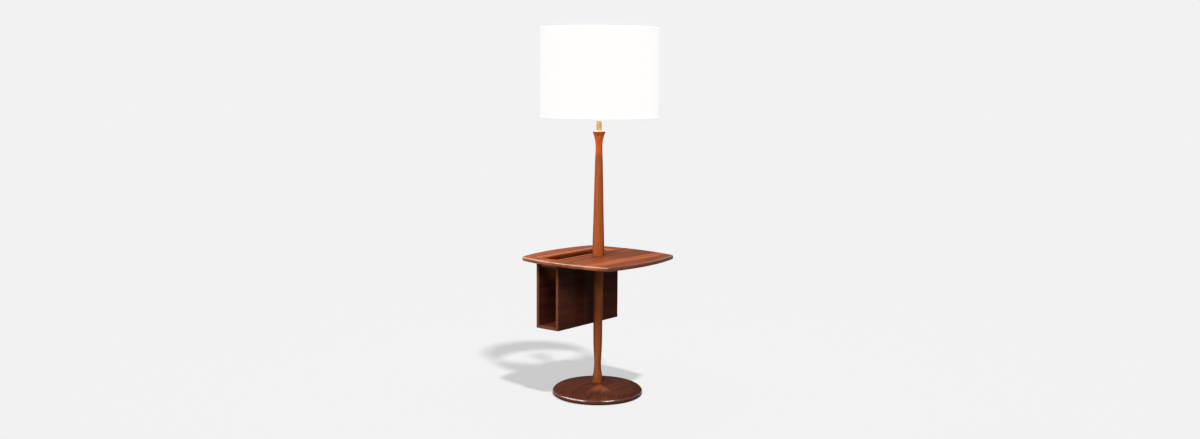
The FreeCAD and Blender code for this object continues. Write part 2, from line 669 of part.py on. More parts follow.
def socket_cap():
    """Brass cup with a hub that screws onto the pipe, and a tapped hole for the set screw."""
    inner = CAP_RADIUS - CAP_WALL
    hub_top = CAP_HUB_HEIGHT
    cup = turned([
        (THREADED_HOLE_RADIUS, 0),
        (CAP_HUB_RADIUS, 0),
        (CAP_HUB_RADIUS, hub_top - CAP_WALL),
        (CAP_RADIUS, SHELL_START - CAP_WALL, CAP_SHOULDER_BOW),
        (CAP_RADIUS, CAP_HEIGHT),
        (inner, CAP_HEIGHT),
        (inner, SHELL_START - CAP_WALL),
        (CAP_HUB_RADIUS, hub_top, -CAP_SHOULDER_BOW),
        (THREADED_HOLE_RADIUS, hub_top),
    ])
    cup.translate(Vector(0, 0, SADDLE_HIGH_Z))
    return cup.cut(set_screw_bar(SET_SCREW_RADIUS + THREAD_CLEARANCE))


def set_screw_bar(radius):
    """Round bar along the set screw's axis, from the pipe's wall outwards through the hub."""
    height = SADDLE_HIGH_Z + CAP_HUB_HEIGHT / 2
    start = Vector(-THREADED_HOLE_RADIUS, 0, height)
    return rod(start, start - Vector(SET_SCREW_LENGTH, 0, 0), radius)


def socket_set_screw():
    """Slotted screw that locks the cap on the pipe."""
    end_x = -THREADED_HOLE_RADIUS - SET_SCREW_LENGTH
    height = SADDLE_HIGH_Z + CAP_HUB_HEIGHT / 2
    slot = box(Vector(end_x, -SET_SCREW_RADIUS, height - SET_SCREW_SLOT / 2),
               Vector(end_x + SET_SCREW_SLOT, SET_SCREW_RADIUS, height + SET_SCREW_SLOT / 2))
    return set_screw_bar(SET_SCREW_RADIUS).cut(slot)


def spindle_hole(clearance):
    """Space for the switch spindle, from inside the body out through the shell."""
    return rod(Vector(SOCKET_BODY_RADIUS - SPINDLE_DEPTH - clearance, 0, SPINDLE_Z),
               Vector(2 * CAP_RADIUS, 0, SPINDLE_Z), SPINDLE_RADIUS + clearance)


def socket_shell():
    """Brass tube that stands in the cap, with a slightly flared mouth."""
    flare_z = SHELL_END - (SHELL_MOUTH_RADIUS - SHELL_RADIUS)
    inner = SHELL_RADIUS - SHELL_WALL
    shell = turned([
        (SHELL_RADIUS, SHELL_START),
        (SHELL_RADIUS, flare_z),
        (SHELL_MOUTH_RADIUS, SHELL_END),
        (SHELL_MOUTH_RADIUS - SHELL_WALL, SHELL_END),
        (inner, flare_z),
        (inner, SHELL_START),
    ])
    shell.translate(Vector(0, 0, SADDLE_HIGH_Z))
    return shell.cut(spindle_hole(FIT_CLEARANCE))


def socket_liner():
    """Card tube that insulates the shell."""
    liner = tube(LINER_RADIUS, LINER_RADIUS - LINER_WALL, LINER_START, LINER_END)
    liner.translate(Vector(0, 0, SADDLE_HIGH_Z))
    return liner.cut(spindle_hole(FIT_CLEARANCE))


def terminal_screw(clearance):
    """Terminal screw on the +Y side of the body: a head in a pocket and a shank towards the axis."""
    height = SADDLE_HIGH_Z + TERMINAL_HEIGHT
    head_y = SOCKET_BODY_RADIUS - TERMINAL_HEAD_THICKNESS
    head = rod(Vector(0, head_y, height), Vector(0, SOCKET_BODY_RADIUS + clearance, height),
               TERMINAL_HEAD_RADIUS + clearance)
    shank = rod(Vector(0, head_y - TERMINAL_SHANK_LENGTH, height), Vector(0, head_y, height),
                TERMINAL_SHANK_RADIUS + clearance)
    keep = cylinder(SOCKET_BODY_RADIUS + clearance, SADDLE_HIGH_Z, BODY_HIGH_Z)
    return shank.fuse(head).removeSplitter().common(keep)


def terminal_screws():
    return Part.makeCompound(both_sides(terminal_screw(0)))


def socket_body():
    """Moulded block that holds the switch and the contacts."""
    block = cylinder(SOCKET_BODY_RADIUS, SADDLE_HIGH_Z + BODY_START, BODY_HIGH_Z)
    for pocket in both_sides(terminal_screw(THREAD_CLEARANCE)):
        block = block.cut(pocket)
    return block.cut(spindle_hole(TURNING_CLEARANCE))


def screw_shell():
    """Thin shell that takes the bulb's cap, closed below by a narrow rim on the body."""
    inner = SCREW_SHELL_RADIUS - SCREW_SHELL_WALL
    return turned([
        (SCREW_SHELL_OPENING_RADIUS, BODY_HIGH_Z),
        (SCREW_SHELL_RADIUS, BODY_HIGH_Z),
        (SCREW_SHELL_RADIUS, SADDLE_HIGH_Z + SCREW_SHELL_END),
        (inner, SADDLE_HIGH_Z + SCREW_SHELL_END),
        (inner, BODY_HIGH_Z + SCREW_SHELL_WALL),
        (SCREW_SHELL_OPENING_RADIUS, BODY_HIGH_Z + SCREW_SHELL_WALL),
    ])


def centre_contact():
    return cylinder(CENTRE_CONTACT_RADIUS, BODY_HIGH_Z, BODY_HIGH_Z + CENTRE_CONTACT_THICKNESS)


def switch_spindle():
    return rod(Vector(SOCKET_BODY_RADIUS - SPINDLE_DEPTH, 0, SPINDLE_Z),
               Vector(KNOB_START_X + KNOB_BORE_DEPTH, 0, SPINDLE_Z), SPINDLE_RADIUS)


def switch_knob():
    """Fluted knob on the spindle's end."""
    start = Vector(KNOB_START_X, 0, SPINDLE_Z)
    end = Vector(KNOB_START_X + KNOB_LENGTH, 0, SPINDLE_Z)
    knob = rod(start, end, KNOB_RADIUS)
    knob = knob.cut(rod(start, start + Vector(KNOB_BORE_DEPTH, 0, 0), SPINDLE_RADIUS + THREAD_CLEARANCE))
    for groove in range(KNOB_GROOVES):
        angle = 2 * math.pi * groove / KNOB_GROOVES
        across = Vector(0, math.cos(angle), math.sin(angle)) * KNOB_RADIUS
        knob = knob.cut(rod(start + across, end + across, KNOB_GROOVE_RADIUS))
    return knob


# ---- bulb ----

def bulb_cap():
    """Thin screw cap with rolled thread rings."""
    root = BULB_CAP_RADIUS - THREAD_DEPTH
    steps = [(root - BULB_CAP_WALL, BULB_CAP_LOW_Z), (root, BULB_CAP_LOW_Z)]
    for turn in range(THREAD_TURNS):
        start = BULB_CAP_LOW_Z + turn * THREAD_PITCH
        steps.append((root, start + THREAD_ROOT_WIDTH))
        steps.append((root, start + THREAD_PITCH, THREAD_DEPTH))
    steps.append((BULB_CAP_RADIUS, BULB_CAP_LOW_Z + (THREAD_TURNS + 1) * THREAD_PITCH))
    steps.append((BULB_CAP_RADIUS, BULB_CAP_HIGH_Z))
    steps.append((root - BULB_CAP_WALL, BULB_CAP_HIGH_Z))
    return turned(steps)


def bulb_contact():
    """End contact and the insulator that holds it in the cap."""
    inner = BULB_CAP_RADIUS - THREAD_DEPTH - BULB_CAP_WALL
    return turned([
        (0, BULB_TIP_Z),
        (TIP_RADIUS, BULB_TIP_Z + TIP_HEIGHT, TIP_BOW),
        (INSULATOR_RADIUS, BULB_CAP_LOW_Z - TIP_HEIGHT),
        (inner, BULB_CAP_LOW_Z),
        (inner - BULB_CAP_WALL, BULB_CAP_LOW_Z + TIP_HEIGHT),
        (0, BULB_CAP_LOW_Z + TIP_HEIGHT),
    ])


def bulb_side(shrink):
    """Outline of the bulb's glass from its neck to its crown, drawn in by shrink."""
    belly_z = BULB_TOP_Z - BULB_RADIUS
    radius = BULB_RADIUS - shrink
    waist_z = BULB_CAP_HIGH_Z + (belly_z - BULB_CAP_HIGH_Z) * BULB_WAIST_SHARE
    swell_z = BULB_CAP_HIGH_Z + (belly_z - BULB_CAP_HIGH_Z) * BULB_SWELL_SHARE
    return [
        (BULB_NECK_RADIUS - shrink, BULB_CAP_HIGH_Z),
        [(BULB_WAIST_RADIUS - shrink, waist_z), (BULB_SWELL_RADIUS - shrink, swell_z), (radius, belly_z)],
        (0, belly_z + radius, bow_of_round(radius, radius)),
    ]


def bulb_glass():
    """Hollow envelope, open at the neck, where it stands in the cap."""
    outside = turned(bulb_side(0) + [(0, BULB_CAP_HIGH_Z)])
    inside = turned(bulb_side(BULB_WALL) + [(0, BULB_CAP_HIGH_Z)])
    return outside.cut(inside)


def bulb_stem():
    """Glass mount: a flare inside the cap and a post that carries the filament."""
    inner = BULB_CAP_RADIUS - THREAD_DEPTH - BULB_CAP_WALL - THREAD_CLEARANCE
    return turned([
        (0, BULB_CAP_LOW_Z + TIP_HEIGHT),
        (STEM_FLARE_RADIUS, BULB_CAP_LOW_Z + TIP_HEIGHT),
        (inner, BULB_CAP_LOW_Z + 2 * TIP_HEIGHT),
        (inner, BULB_CAP_HIGH_Z - TIP_HEIGHT),
        (STEM_RADIUS, BULB_CAP_HIGH_Z + STEM_RADIUS, -STEM_SHOULDER_BOW),
        (STEM_RADIUS, BULB_CAP_LOW_Z + STEM_HEIGHT),
        (0, BULB_CAP_LOW_Z + STEM_HEIGHT + STEM_RADIUS, bow_of_round(STEM_RADIUS, STEM_RADIUS)),
    ])


def bulb_filament():
    """Bowed wire on two leads that stand on the stem."""
    foot_z = BULB_CAP_LOW_Z + STEM_HEIGHT
    top_z = foot_z + FILAMENT_HEIGHT
    half = FILAMENT_WIDTH / 2
    return bent_rod([
        Vector(0, -STEM_RADIUS - FILAMENT_WIRE_RADIUS, foot_z - FILAMENT_LEAD_LENGTH),
        Vector(0, -STEM_RADIUS - FILAMENT_WIRE_RADIUS, foot_z),
        Vector(0, -half, top_z),
        Vector(0, half, top_z),
        Vector(0, STEM_RADIUS + FILAMENT_WIRE_RADIUS, foot_z),
        Vector(0, STEM_RADIUS + FILAMENT_WIRE_RADIUS, foot_z - FILAMENT_LEAD_LENGTH),
    ], FILAMENT_WIRE_RADIUS, [FILAMENT_BEND_RADIUS] * 4)


# ---- shade ----

def shade_wire(height):
    """Wire ring of the shade, centred at a height."""
    return Part.makeTorus(SHADE_WIRE_CENTRE, SHADE_WIRE_RADIUS, Vector(0, 0, height))


def shade_spider():
    """Round plate that the harp's stud passes through and the finial clamps."""
    hub = cylinder(SPIDER_HUB_RADIUS, SPIDER_LOW_Z, SPIDER_HIGH_Z)
    return hub.cut(cylinder(STUD_RADIUS + FIT_CLEARANCE, SPIDER_LOW_Z, SPIDER_HIGH_Z))


def spider_arms():
    """Arms welded to the plate's edge, which rise to a short level ledge welded under the top ring."""
    ledge_z = LAMP_HEIGHT - SHADE_WIRE_INSET - 2 * SHADE_WIRE_RADIUS
    hub_z = SPIDER_LOW_Z + SHADE_WIRE_RADIUS
    arm = bent_rod([
        Vector(-SHADE_WIRE_CENTRE, 0, ledge_z),
        Vector(-SHADE_WIRE_CENTRE + SPIDER_LEDGE, 0, ledge_z),
        Vector(-SPIDER_HUB_RADIUS, 0, hub_z),
        Vector(-STUD_RADIUS, 0, hub_z),
    ], SHADE_WIRE_RADIUS, [SPIDER_LEDGE, SPIDER_LEDGE])
    arm = arm.cut(cylinder(SPIDER_HUB_RADIUS, HARP_TOP_Z, LAMP_HEIGHT))
    arms = []
    for turn in range(SPIDER_ARMS):
        turned_arm = arm.copy()
        turned_arm.rotate(Vector(0, 0, 0), Vector(0, 0, 1), 360 * turn / SPIDER_ARMS)
        arms.append(turned_arm)
    return Part.makeCompound(arms)


def shade_shell():
    """Drum wall of the shade."""
    inner = SHADE_SHELL_RADIUS - SHADE_WALL
    return tube(SHADE_SHELL_RADIUS, inner, SHADE_LOW_Z + TRIM_THICKNESS, LAMP_HEIGHT - TRIM_THICKNESS)


def shade_trim():
    """Tape folded over the shade's top edge and its wire ring."""
    inner_leg_z = LAMP_HEIGHT - TRIM_INNER_WIDTH
    return turned([
        (SHADE_RADIUS - TRIM_THICKNESS, LAMP_HEIGHT - TRIM_WIDTH),
        (SHADE_RADIUS, LAMP_HEIGHT - TRIM_WIDTH),
        (SHADE_RADIUS, LAMP_HEIGHT),
        (TRIM_INNER_RADIUS, LAMP_HEIGHT),
        (TRIM_INNER_RADIUS, inner_leg_z),
        (TRIM_INNER_RADIUS + TRIM_THICKNESS, inner_leg_z),
        (TRIM_INNER_RADIUS + TRIM_THICKNESS, LAMP_HEIGHT - TRIM_THICKNESS),
        (SHADE_RADIUS - TRIM_THICKNESS, LAMP_HEIGHT - TRIM_THICKNESS),
    ])


def shade_bottom_trim():
    """The same tape, folded over the bottom edge."""
    return shade_trim().mirror(Vector(0, 0, (SHADE_LOW_Z + LAMP_HEIGHT) / 2), Vector(0, 0, 1))


def finial():
    """Turned nut: a collar, a neck and a ball, with a blind threaded hole for the stud."""
    ball_z = FINIAL_HEIGHT - FINIAL_BALL_RADIUS
    drop = math.sqrt(FINIAL_BALL_RADIUS ** 2 - FINIAL_NECK_RADIUS ** 2)
    body = turned([
        (0, 0),
        (FINIAL_COLLAR_RADIUS, 0),
        (FINIAL_COLLAR_RADIUS, FINIAL_COLLAR_HEIGHT, FINIAL_COLLAR_BOW),
        (FINIAL_NECK_RADIUS, FINIAL_NECK_HEIGHT, -FINIAL_COLLAR_BOW),
        (FINIAL_NECK_RADIUS, ball_z - drop),
        (FINIAL_BALL_RADIUS, ball_z, bow_of_round(FINIAL_BALL_RADIUS - FINIAL_NECK_RADIUS, drop)),
        (0, FINIAL_HEIGHT, bow_of_round(FINIAL_BALL_RADIUS, FINIAL_BALL_RADIUS)),
    ])
    body.translate(Vector(0, 0, FINIAL_LOW_Z))
    hole = cylinder(STUD_RADIUS + TURNING_CLEARANCE, FINIAL_LOW_Z, HARP_TOP_Z + STUD_HEIGHT + FIT_CLEARANCE)
    return body.cut(hole)


# ---- magazine rack ----

def rack_panel(outer_x):
    """Upright side panel between the rack's bottom and the table, with eased lower and end edges."""
    inner_x = outer_x + PANEL_THICKNESS
    panel = box(Vector(outer_x, -HALF_RACK, RACK_LOW_Z), Vector(inner_x, HALF_RACK, TABLE_UNDER_Z))
    return panel.makeFillet(PANEL_EDGE_ROUND, edges_at(panel, RACK_LOW_Z) + upright_edges(panel))


def drilled(shape, holes):
    """A shape with every hole of a list cut out of it."""
    for hole in holes:
        shape = shape.cut(hole)
    return shape


def rack_outer_panel():
    return drilled(rack_panel(RACK_OUTER_X), rack_holes())


def rack_inner_panel():
    return drilled(rack_panel(BAY_INNER_X), rack_holes())


def rack_bottom_panel():
    """Floor of the rack, between the side panels."""
    board = box(Vector(BAY_OUTER_X, -HALF_RACK, RACK_LOW_Z), Vector(BAY_INNER_X, HALF_RACK, RACK_FLOOR_Z))
    ends = [edge for edge in board.Edges if is_short(edge.BoundBox.YLength, edge.BoundBox.ZLength)]
    return drilled(board.makeFillet(PANEL_EDGE_ROUND, ends), dowel_bars(THREAD_CLEARANCE))


def dowel_bars(clearance):
    """Bars along the dowels, grown by a clearance: a row on each side of the rack's floor."""
    height = RACK_LOW_Z + PANEL_THICKNESS / 2
    bars = []
    for number in range(DOWELS_PER_SIDE):
        place_y = DOWEL_SPACING * (number - (DOWELS_PER_SIDE - 1) / 2)
        for face_x, inward in ((BAY_OUTER_X, 1), (BAY_INNER_X, -1)):
            start = Vector(face_x - inward * (DOWEL_IN_PANEL + clearance), place_y, height)
            end = Vector(face_x + inward * (DOWEL_LENGTH - DOWEL_IN_PANEL + clearance), place_y, height)
            bars.append(rod(start, end, DOWEL_RADIUS + clearance))
    return bars


def rack_rod(clearance):
    """Bar along the cross rod at the -Y end, let into both side panels."""
    height = TABLE_UNDER_Z - ROD_DROP
    place_y = -HALF_RACK + ROD_INSET
    start = Vector(BAY_OUTER_X - ROD_SOCKET - clearance, place_y, height)
    end = Vector(BAY_INNER_X + ROD_SOCKET + clearance, place_y, height)
    return rod(start, end, ROD_RADIUS + clearance)


def bracket_places():
    """Panel face, outward direction and Y of each bracket."""
    faces = ((RACK_OUTER_X, -1), (RACK_INNER_X, 1))
    return [(face_x, outward, side * BRACKET_Y) for face_x, outward in faces for side in (-1, 1)]


def bracket(face_x, outward, place_y):
    """Angle bracket in the corner between a panel's face and the table's underside."""
    def plate(reach, depth):
        corners = [Vector(face_x, place_y - BRACKET_WIDTH / 2, TABLE_UNDER_Z - depth),
                   Vector(face_x + outward * reach, place_y + BRACKET_WIDTH / 2, TABLE_UNDER_Z)]
        low_x, high_x = sorted(corner.x for corner in corners)
        return box(Vector(low_x, corners[0].y, corners[0].z), Vector(high_x, corners[1].y, corners[1].z))
    level, upright = plate(BRACKET_LEG, BRACKET_THICKNESS), plate(BRACKET_THICKNESS, BRACKET_LEG)
    angle = level.fuse(upright).removeSplitter()
    return drilled(angle, bracket_screws(face_x, outward, place_y, THREAD_CLEARANCE))


def bracket_screws(face_x, outward, place_y, clearance):
    """Screws of one bracket: one sideways into the panel and one up into the table."""
    middle = (BRACKET_LEG + BRACKET_THICKNESS) / 2
    side = Vector(outward, 0, 0)
    down = Vector(0, 0, -1)
    screws = []
    for foot, away in ((Vector(face_x, place_y, TABLE_UNDER_Z - middle), side),
                       (Vector(face_x + outward * middle, place_y, TABLE_UNDER_Z), down)):
        seat = foot + away * BRACKET_THICKNESS
        shank = rod(foot - away * SCREW_LENGTH, seat, SCREW_RADIUS + clearance)
        head = rod(seat, seat + away * SCREW_HEAD_THICKNESS, SCREW_HEAD_RADIUS)
        screws.append(shank.fuse(head))
    return screws


def all_bracket_screws(clearance):
    """Screws of every bracket."""
    return [screw for place in bracket_places() for screw in bracket_screws(*place, clearance)]


def rack_holes():
    """Everything that is let into the rack's side panels."""
    rods = both_sides(rack_rod(THREAD_CLEARANCE))
    return dowel_bars(THREAD_CLEARANCE) + rods + all_bracket_screws(THREAD_CLEARANCE)


def lamp_parts():
    """Every sub-part by the name of its node."""
    rods = both_sides(rack_rod(0))
    sleeves = both_sides(harp_sleeve())
    return {
        "felt_pad": felt_pad(),
        "base_disc": base_disc(),
        "cord_bushing": cord_bushing(),
        "base_weight": base_weight(),
        "base_washer": base_washer(),
        "base_lock_washer": base_lock_washer(),
        "base_nut": base_nut(),
        "lower_pipe": lower_pipe(),
        "upper_pipe": upper_pipe(),
        "pipe_coupling": pipe_coupling(),
        "lower_pole": lower_pole(),
        "table_top": drilled(table_top(), all_bracket_screws(THREAD_CLEARANCE)),
        "upper_pole": upper_pole(),
        "pole_neck": pole_neck(),
        "check_ring": check_ring(),
        "neck_tube": neck_tube(),
        "harp_saddle": harp_saddle(),
        "harp": harp(),
        "harp_stud": harp_stud(),
        "harp_sleeve_right": sleeves[0],
        "harp_sleeve_left": sleeves[1],
        "socket_cap": socket_cap(),
        "socket_set_screw": socket_set_screw(),
        "socket_shell": socket_shell(),
        "socket_liner": socket_liner(),
        "socket_body": socket_body(),
        "terminal_screws": terminal_screws(),
        "screw_shell": screw_shell(),
        "centre_contact": centre_contact(),
        "switch_spindle": switch_spindle(),
        "switch_knob": switch_knob(),
        "bulb_cap": bulb_cap(),
        "bulb_contact": bulb_contact(),
        "bulb_glass": bulb_glass(),
        "bulb_stem": bulb_stem(),
        "bulb_filament": bulb_filament(),
        "shade_top_ring": shade_wire(LAMP_HEIGHT - SHADE_WIRE_INSET),
        "shade_bottom_ring": shade_wire(SHADE_LOW_Z + SHADE_WIRE_INSET),
        "shade_spider": shade_spider(),
        "spider_arms": spider_arms(),
        "shade_shell": shade_shell(),
        "shade_top_trim": shade_trim(),
        "shade_bottom_trim": shade_bottom_trim(),
        "finial": finial(),
        "rack_outer_panel": rack_outer_panel(),
        "rack_inner_panel": rack_inner_panel(),
        "rack_bottom_panel": rack_bottom_panel(),
        "rack_dowels": Part.makeCompound(dowel_bars(0)),
        "rack_rod_front": rods[0],
        "rack_rod_rear": rods[1],
        "rack_brackets": Part.makeCompound([bracket(*place) for place in bracket_places()]),
        "rack_bracket_screws": Part.makeCompound(all_bracket_screws(0)),
    }


os.makedirs("parts", exist_ok=True)
for node, shape in lamp_parts().items():
    shape.exportStep(f"parts/{node}.step")
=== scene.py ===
import json
import math

import bmesh
import bpy
import numpy as np
from mathutils import Matrix, Quaternion, Vector


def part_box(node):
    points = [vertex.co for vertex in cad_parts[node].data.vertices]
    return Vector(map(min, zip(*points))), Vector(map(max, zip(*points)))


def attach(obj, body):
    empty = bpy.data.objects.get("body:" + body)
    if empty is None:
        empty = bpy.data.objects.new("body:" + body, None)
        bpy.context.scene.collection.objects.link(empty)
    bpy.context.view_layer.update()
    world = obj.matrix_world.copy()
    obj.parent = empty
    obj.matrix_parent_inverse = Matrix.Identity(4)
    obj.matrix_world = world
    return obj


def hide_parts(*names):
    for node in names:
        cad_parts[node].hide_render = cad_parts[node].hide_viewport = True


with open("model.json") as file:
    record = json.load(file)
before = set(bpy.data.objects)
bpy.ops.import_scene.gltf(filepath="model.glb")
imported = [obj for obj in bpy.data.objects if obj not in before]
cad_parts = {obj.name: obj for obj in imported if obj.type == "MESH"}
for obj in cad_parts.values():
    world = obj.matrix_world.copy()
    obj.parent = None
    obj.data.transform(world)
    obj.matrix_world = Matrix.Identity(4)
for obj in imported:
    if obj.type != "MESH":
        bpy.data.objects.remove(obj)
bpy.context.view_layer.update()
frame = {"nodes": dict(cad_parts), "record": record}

# Floor lamp with a table and a magazine rack: its finishes, its shade's cloth, its turned base and a plain
# studio. Metres, +Z up, in the same frame as the solids. The rack hangs on the -X side and runs along Y.


def srgb(red, green, blue):
    """Colour of a finish, given as it looks on a screen from 0 to 255, in linear light."""
    shares = (red / 255, green / 255, blue / 255)
    return tuple(s / 12.92 if s <= 0.04045 else ((s + 0.055) / 1.055) ** 2.4 for s in shares)


# ---- shader maths ----

class Signal:
    """One output socket of a material; sums with it add Math nodes."""

    def __init__(self, finish, socket):
        self.finish = finish
        self.socket = socket

    def maths(self, operation, *values):
        return self.finish.add("ShaderNodeMath", {"operation": operation}, dict(enumerate(values)))

    def __add__(self, other):
        return self.maths("ADD", self, other)

    def __sub__(self, other):
        return self.maths("SUBTRACT", self, other)

    def __rsub__(self, other):
        return self.maths("SUBTRACT", other, self)

    def __mul__(self, other):
        return self.maths("MULTIPLY", self, other)

    def __truediv__(self, other):
        return self.maths("DIVIDE", self, other)

    def __pow__(self, power):
        return self.maths("POWER", self, power)

    def __abs__(self):
        return self.maths("ABSOLUTE", self)

    __radd__ = __add__
    __rmul__ = __mul__


class Finish:
    """A material being built: its Principled shader, and the nodes that feed it."""

    def __init__(self, name, **constants):
        self.material = bpy.data.materials.new(name)
        self.material.use_nodes = True
        self.tree = self.material.node_tree
        self.shader = self.tree.nodes["Principled BSDF"]
        for socket, value in constants.items():
            self.feed(socket.replace("_", " "), value)

    def add(self, kind, settings=None, sockets=None, output=0):
        """Any node: its settings are set first, then the values or links of its sockets."""
        node = self.tree.nodes.new(kind)
        for name, value in (settings or {}).items():
            if name == "stops":
                self.set_stops(node.color_ramp, value)
            else:
                setattr(node, name, value)
        for key, value in (sockets or {}).items():
            self.join(node.inputs[key], value)
        return Signal(self, node.outputs[output])

    def set_stops(self, ramp, stops):
        """Colours of a ramp, as (place, colour) pairs in order."""
        while len(ramp.elements) < len(stops):
            ramp.elements.new(1.0)
        for element, (place, colour) in zip(ramp.elements, stops):
            element.position = place
            element.color = (*colour, 1.0)

    def join(self, socket, value):
        if isinstance(value, Signal):
            self.tree.links.new(value.socket, socket)
        elif socket.type == "RGBA":
            socket.default_value = (*value, 1.0)
        else:
            socket.default_value = value

    def feed(self, name, value):
        """Value or link of one of the shader's own sockets, named with capitals as the shader names it."""
        self.join(self.shader.inputs[name], value)

    def place(self, turn=(0.0, 0.0, 0.0)):
        """Object coordinates, turned."""
        here = self.add("ShaderNodeTexCoord", output="Object")
        return self.add("ShaderNodeMapping", {"vector_type": "POINT"}, {"Vector": here, "Rotation": turn})

    def noise(self, place, scale, detail=3.0, rough=0.5, contrast=1.0):
        """Noise from 0 to 1 around a half, with a scale for each axis."""
        stretched = self.add("ShaderNodeVectorMath", {"operation": "MULTIPLY"}, {0: place, 1: scale})
        sockets = {"Vector": stretched, "Scale": 1.0, "Detail": detail, "Roughness": rough}
        return (self.add("ShaderNodeTexNoise", None, sockets) - 0.5) * contrast + 0.5

    def part(self, place, axis):
        """One coordinate of a place: 0, 1 or 2."""
        return self.add("ShaderNodeSeparateXYZ", None, {0: place}, axis)

    def facing(self, axis):
        """How far the surface faces along one axis: 1, 0 or -1 in the piece's own directions."""
        return self.part(self.add("ShaderNodeTexCoord", output="Normal"), axis)

    def between(self, value, low, high):
        """0 below low, 1 above high, and a smooth step between."""
        settings = {"interpolation_type": "SMOOTHSTEP"}
        return self.add("ShaderNodeMapRange", settings, {0: value, 1: low, 2: high})

    def ramp(self, value, stops):
        return self.add("ShaderNodeValToRGB", {"stops": stops}, {0: value})

    def blend(self, factor, first, second):
        """Colour mix: the first colour where the factor is 0, and the second where it is 1.

        The node's sockets 6 and 7 and its output 2 are the ones for colours.
        """
        return self.add("ShaderNodeMix", {"data_type": "RGBA"}, {0: factor, 6: first, 7: second}, 2)

    def bump(self, height, distance, strength=1.0):
        """Feeds the shader's normal from a height of 0 to 1 that stands for a distance in metres."""
        sockets = {"Height": height, "Distance": distance, "Strength": strength}
        self.feed("Normal", self.add("ShaderNodeBump", None, sockets))


# ---- wood ----
# Noise scales are in cycles a metre, two across the grain and one along it.

ALONG_X = (0.0, -math.pi / 2, 0.0)
ALONG_Y = (math.pi / 2, 0.0, 0.0)
ALONG_Z = (0.0, 0.0, 0.0)
RING_BOW, RING_WAVER = 0.030, 0.002
RING_CLIMB = 1.8
STREAK_SHARE, RING_SHARE, FIBRE_SHARE = 0.46, 0.24, 0.16
PORE_DARKNESS = 0.35
WOOD_RELIEF = 0.00006
EDGE_FROM, EDGE_FULL = 0.04, 0.24


def wood(name, tones, grain=ALONG_Z, pith=(0.02, 0.05), ring=0.0042, figure=1.0, gloss=(0.05, 0.2, 0.1),
         coat_rough=0.16, rough=0.46, level_from=(0.90, 0.995), extra=None, touch=None):
    """Stained and lacquered wood, cut from a log whose growth rings run round an axis along the grain.

    A ring's tone climbs slowly and drops at once; broad stretched noise makes streaks, fine stretched
    noise makes fibres, and the lowest values of the finest noise are pores. The tone lies around a half.
    pith is where the log's axis is across the grain, and ring is a ring's width. gloss is the lacquer's
    weight on level tops, on rounded edges, which hands polish, and on upright sides; level_from is how
    far up a place faces where the rounding ends. extra adds to the tone and touch changes the colour,
    both by the place before it is turned to the grain.
    """
    finish = Finish(name, IOR=1.45, Coat_Roughness=coat_rough, Specular_IOR_Level=0.0)
    here = finish.place()
    place = finish.place(grain)
    bow = finish.noise(place, (9.0, 9.0, 1.3), 2.0)
    waver = finish.noise(place, (60.0, 60.0, 5.0), 2.0)
    across = finish.part(place, 0) - pith[0]
    deep = finish.part(place, 1) - pith[1]
    radius = (across * across + deep * deep) ** 0.5
    phase = (radius + bow * RING_BOW + waver * RING_WAVER) / ring
    rings = phase.maths("FRACT", phase) ** RING_CLIMB
    streaks = finish.noise(place, (46.0, 46.0, 1.9), 3.0, 0.55, 2.0)
    fibres = finish.noise(place, (800.0, 800.0, 16.0), 2.0, 0.6, 1.6)
    pores = 1.0 - finish.between(finish.noise(place, (1500.0, 1500.0, 45.0), 1.0), 0.33, 0.41)
    middle = ((STREAK_SHARE + RING_SHARE) * figure + FIBRE_SHARE) / 2
    tone = streaks * (STREAK_SHARE * figure) + rings * (RING_SHARE * figure) + fibres * FIBRE_SHARE
    tone = tone + (0.5 - middle)
    if extra is not None:
        tone = tone + extra(finish, here)
    colour = finish.ramp(tone, [(share, srgb(*shade)) for share, shade in tones])
    colour = finish.blend(pores * PORE_DARKNESS, colour, srgb(*tones[0][1]))
    if touch is not None:
        colour = touch(finish, here, colour)
    on_level, on_edge, on_side = gloss
    up = finish.facing(2)
    level = finish.between(up, *level_from)
    leaning = finish.between(up, EDGE_FROM, EDGE_FULL)
    rounded = leaning * (on_edge - on_side) + on_side
    finish.feed("Coat Weight", level * on_level + (1.0 - level) * rounded)
    finish.feed("Base Color", colour)
    finish.feed("Roughness", fibres * 0.10 + (rough - 0.05))
    finish.bump(fibres * 0.35 - pores * 0.5 + rings * 0.15, WOOD_RELIEF, 0.6)
    return finish.material


# Table top: the slot's sides and ends, the boards' edges across the top and each board's tone.
SLOT_OUTER_X, SLOT_INNER_X = -0.151, -0.053
SLOT_END_Y = 0.171
SLOT_BLUR = 0.001
BOARD_ENDS = (-0.229, -0.046, -0.012, 0.060, 0.112, 0.163, 0.229)
BOARD_TONES = (0.14, 0.06, -0.03, 0.00, 0.22, -0.02)
BOARD_JOINT = 0.0015
RAMP_MIDDLE = 0.6
# The front's lift is painted light, paler towards the front; the lip's lift is a painted highlight.
FRONT_PAINTED_LIGHT, BOARD_DROP = 0.05, 0.04
DARK_JOINT_X, JOINT_DROP = -0.0350, 0.66
LIP_START_X, LIP_END_X, LIP_HIGHLIGHT = -0.0540, -0.0425, 0.34


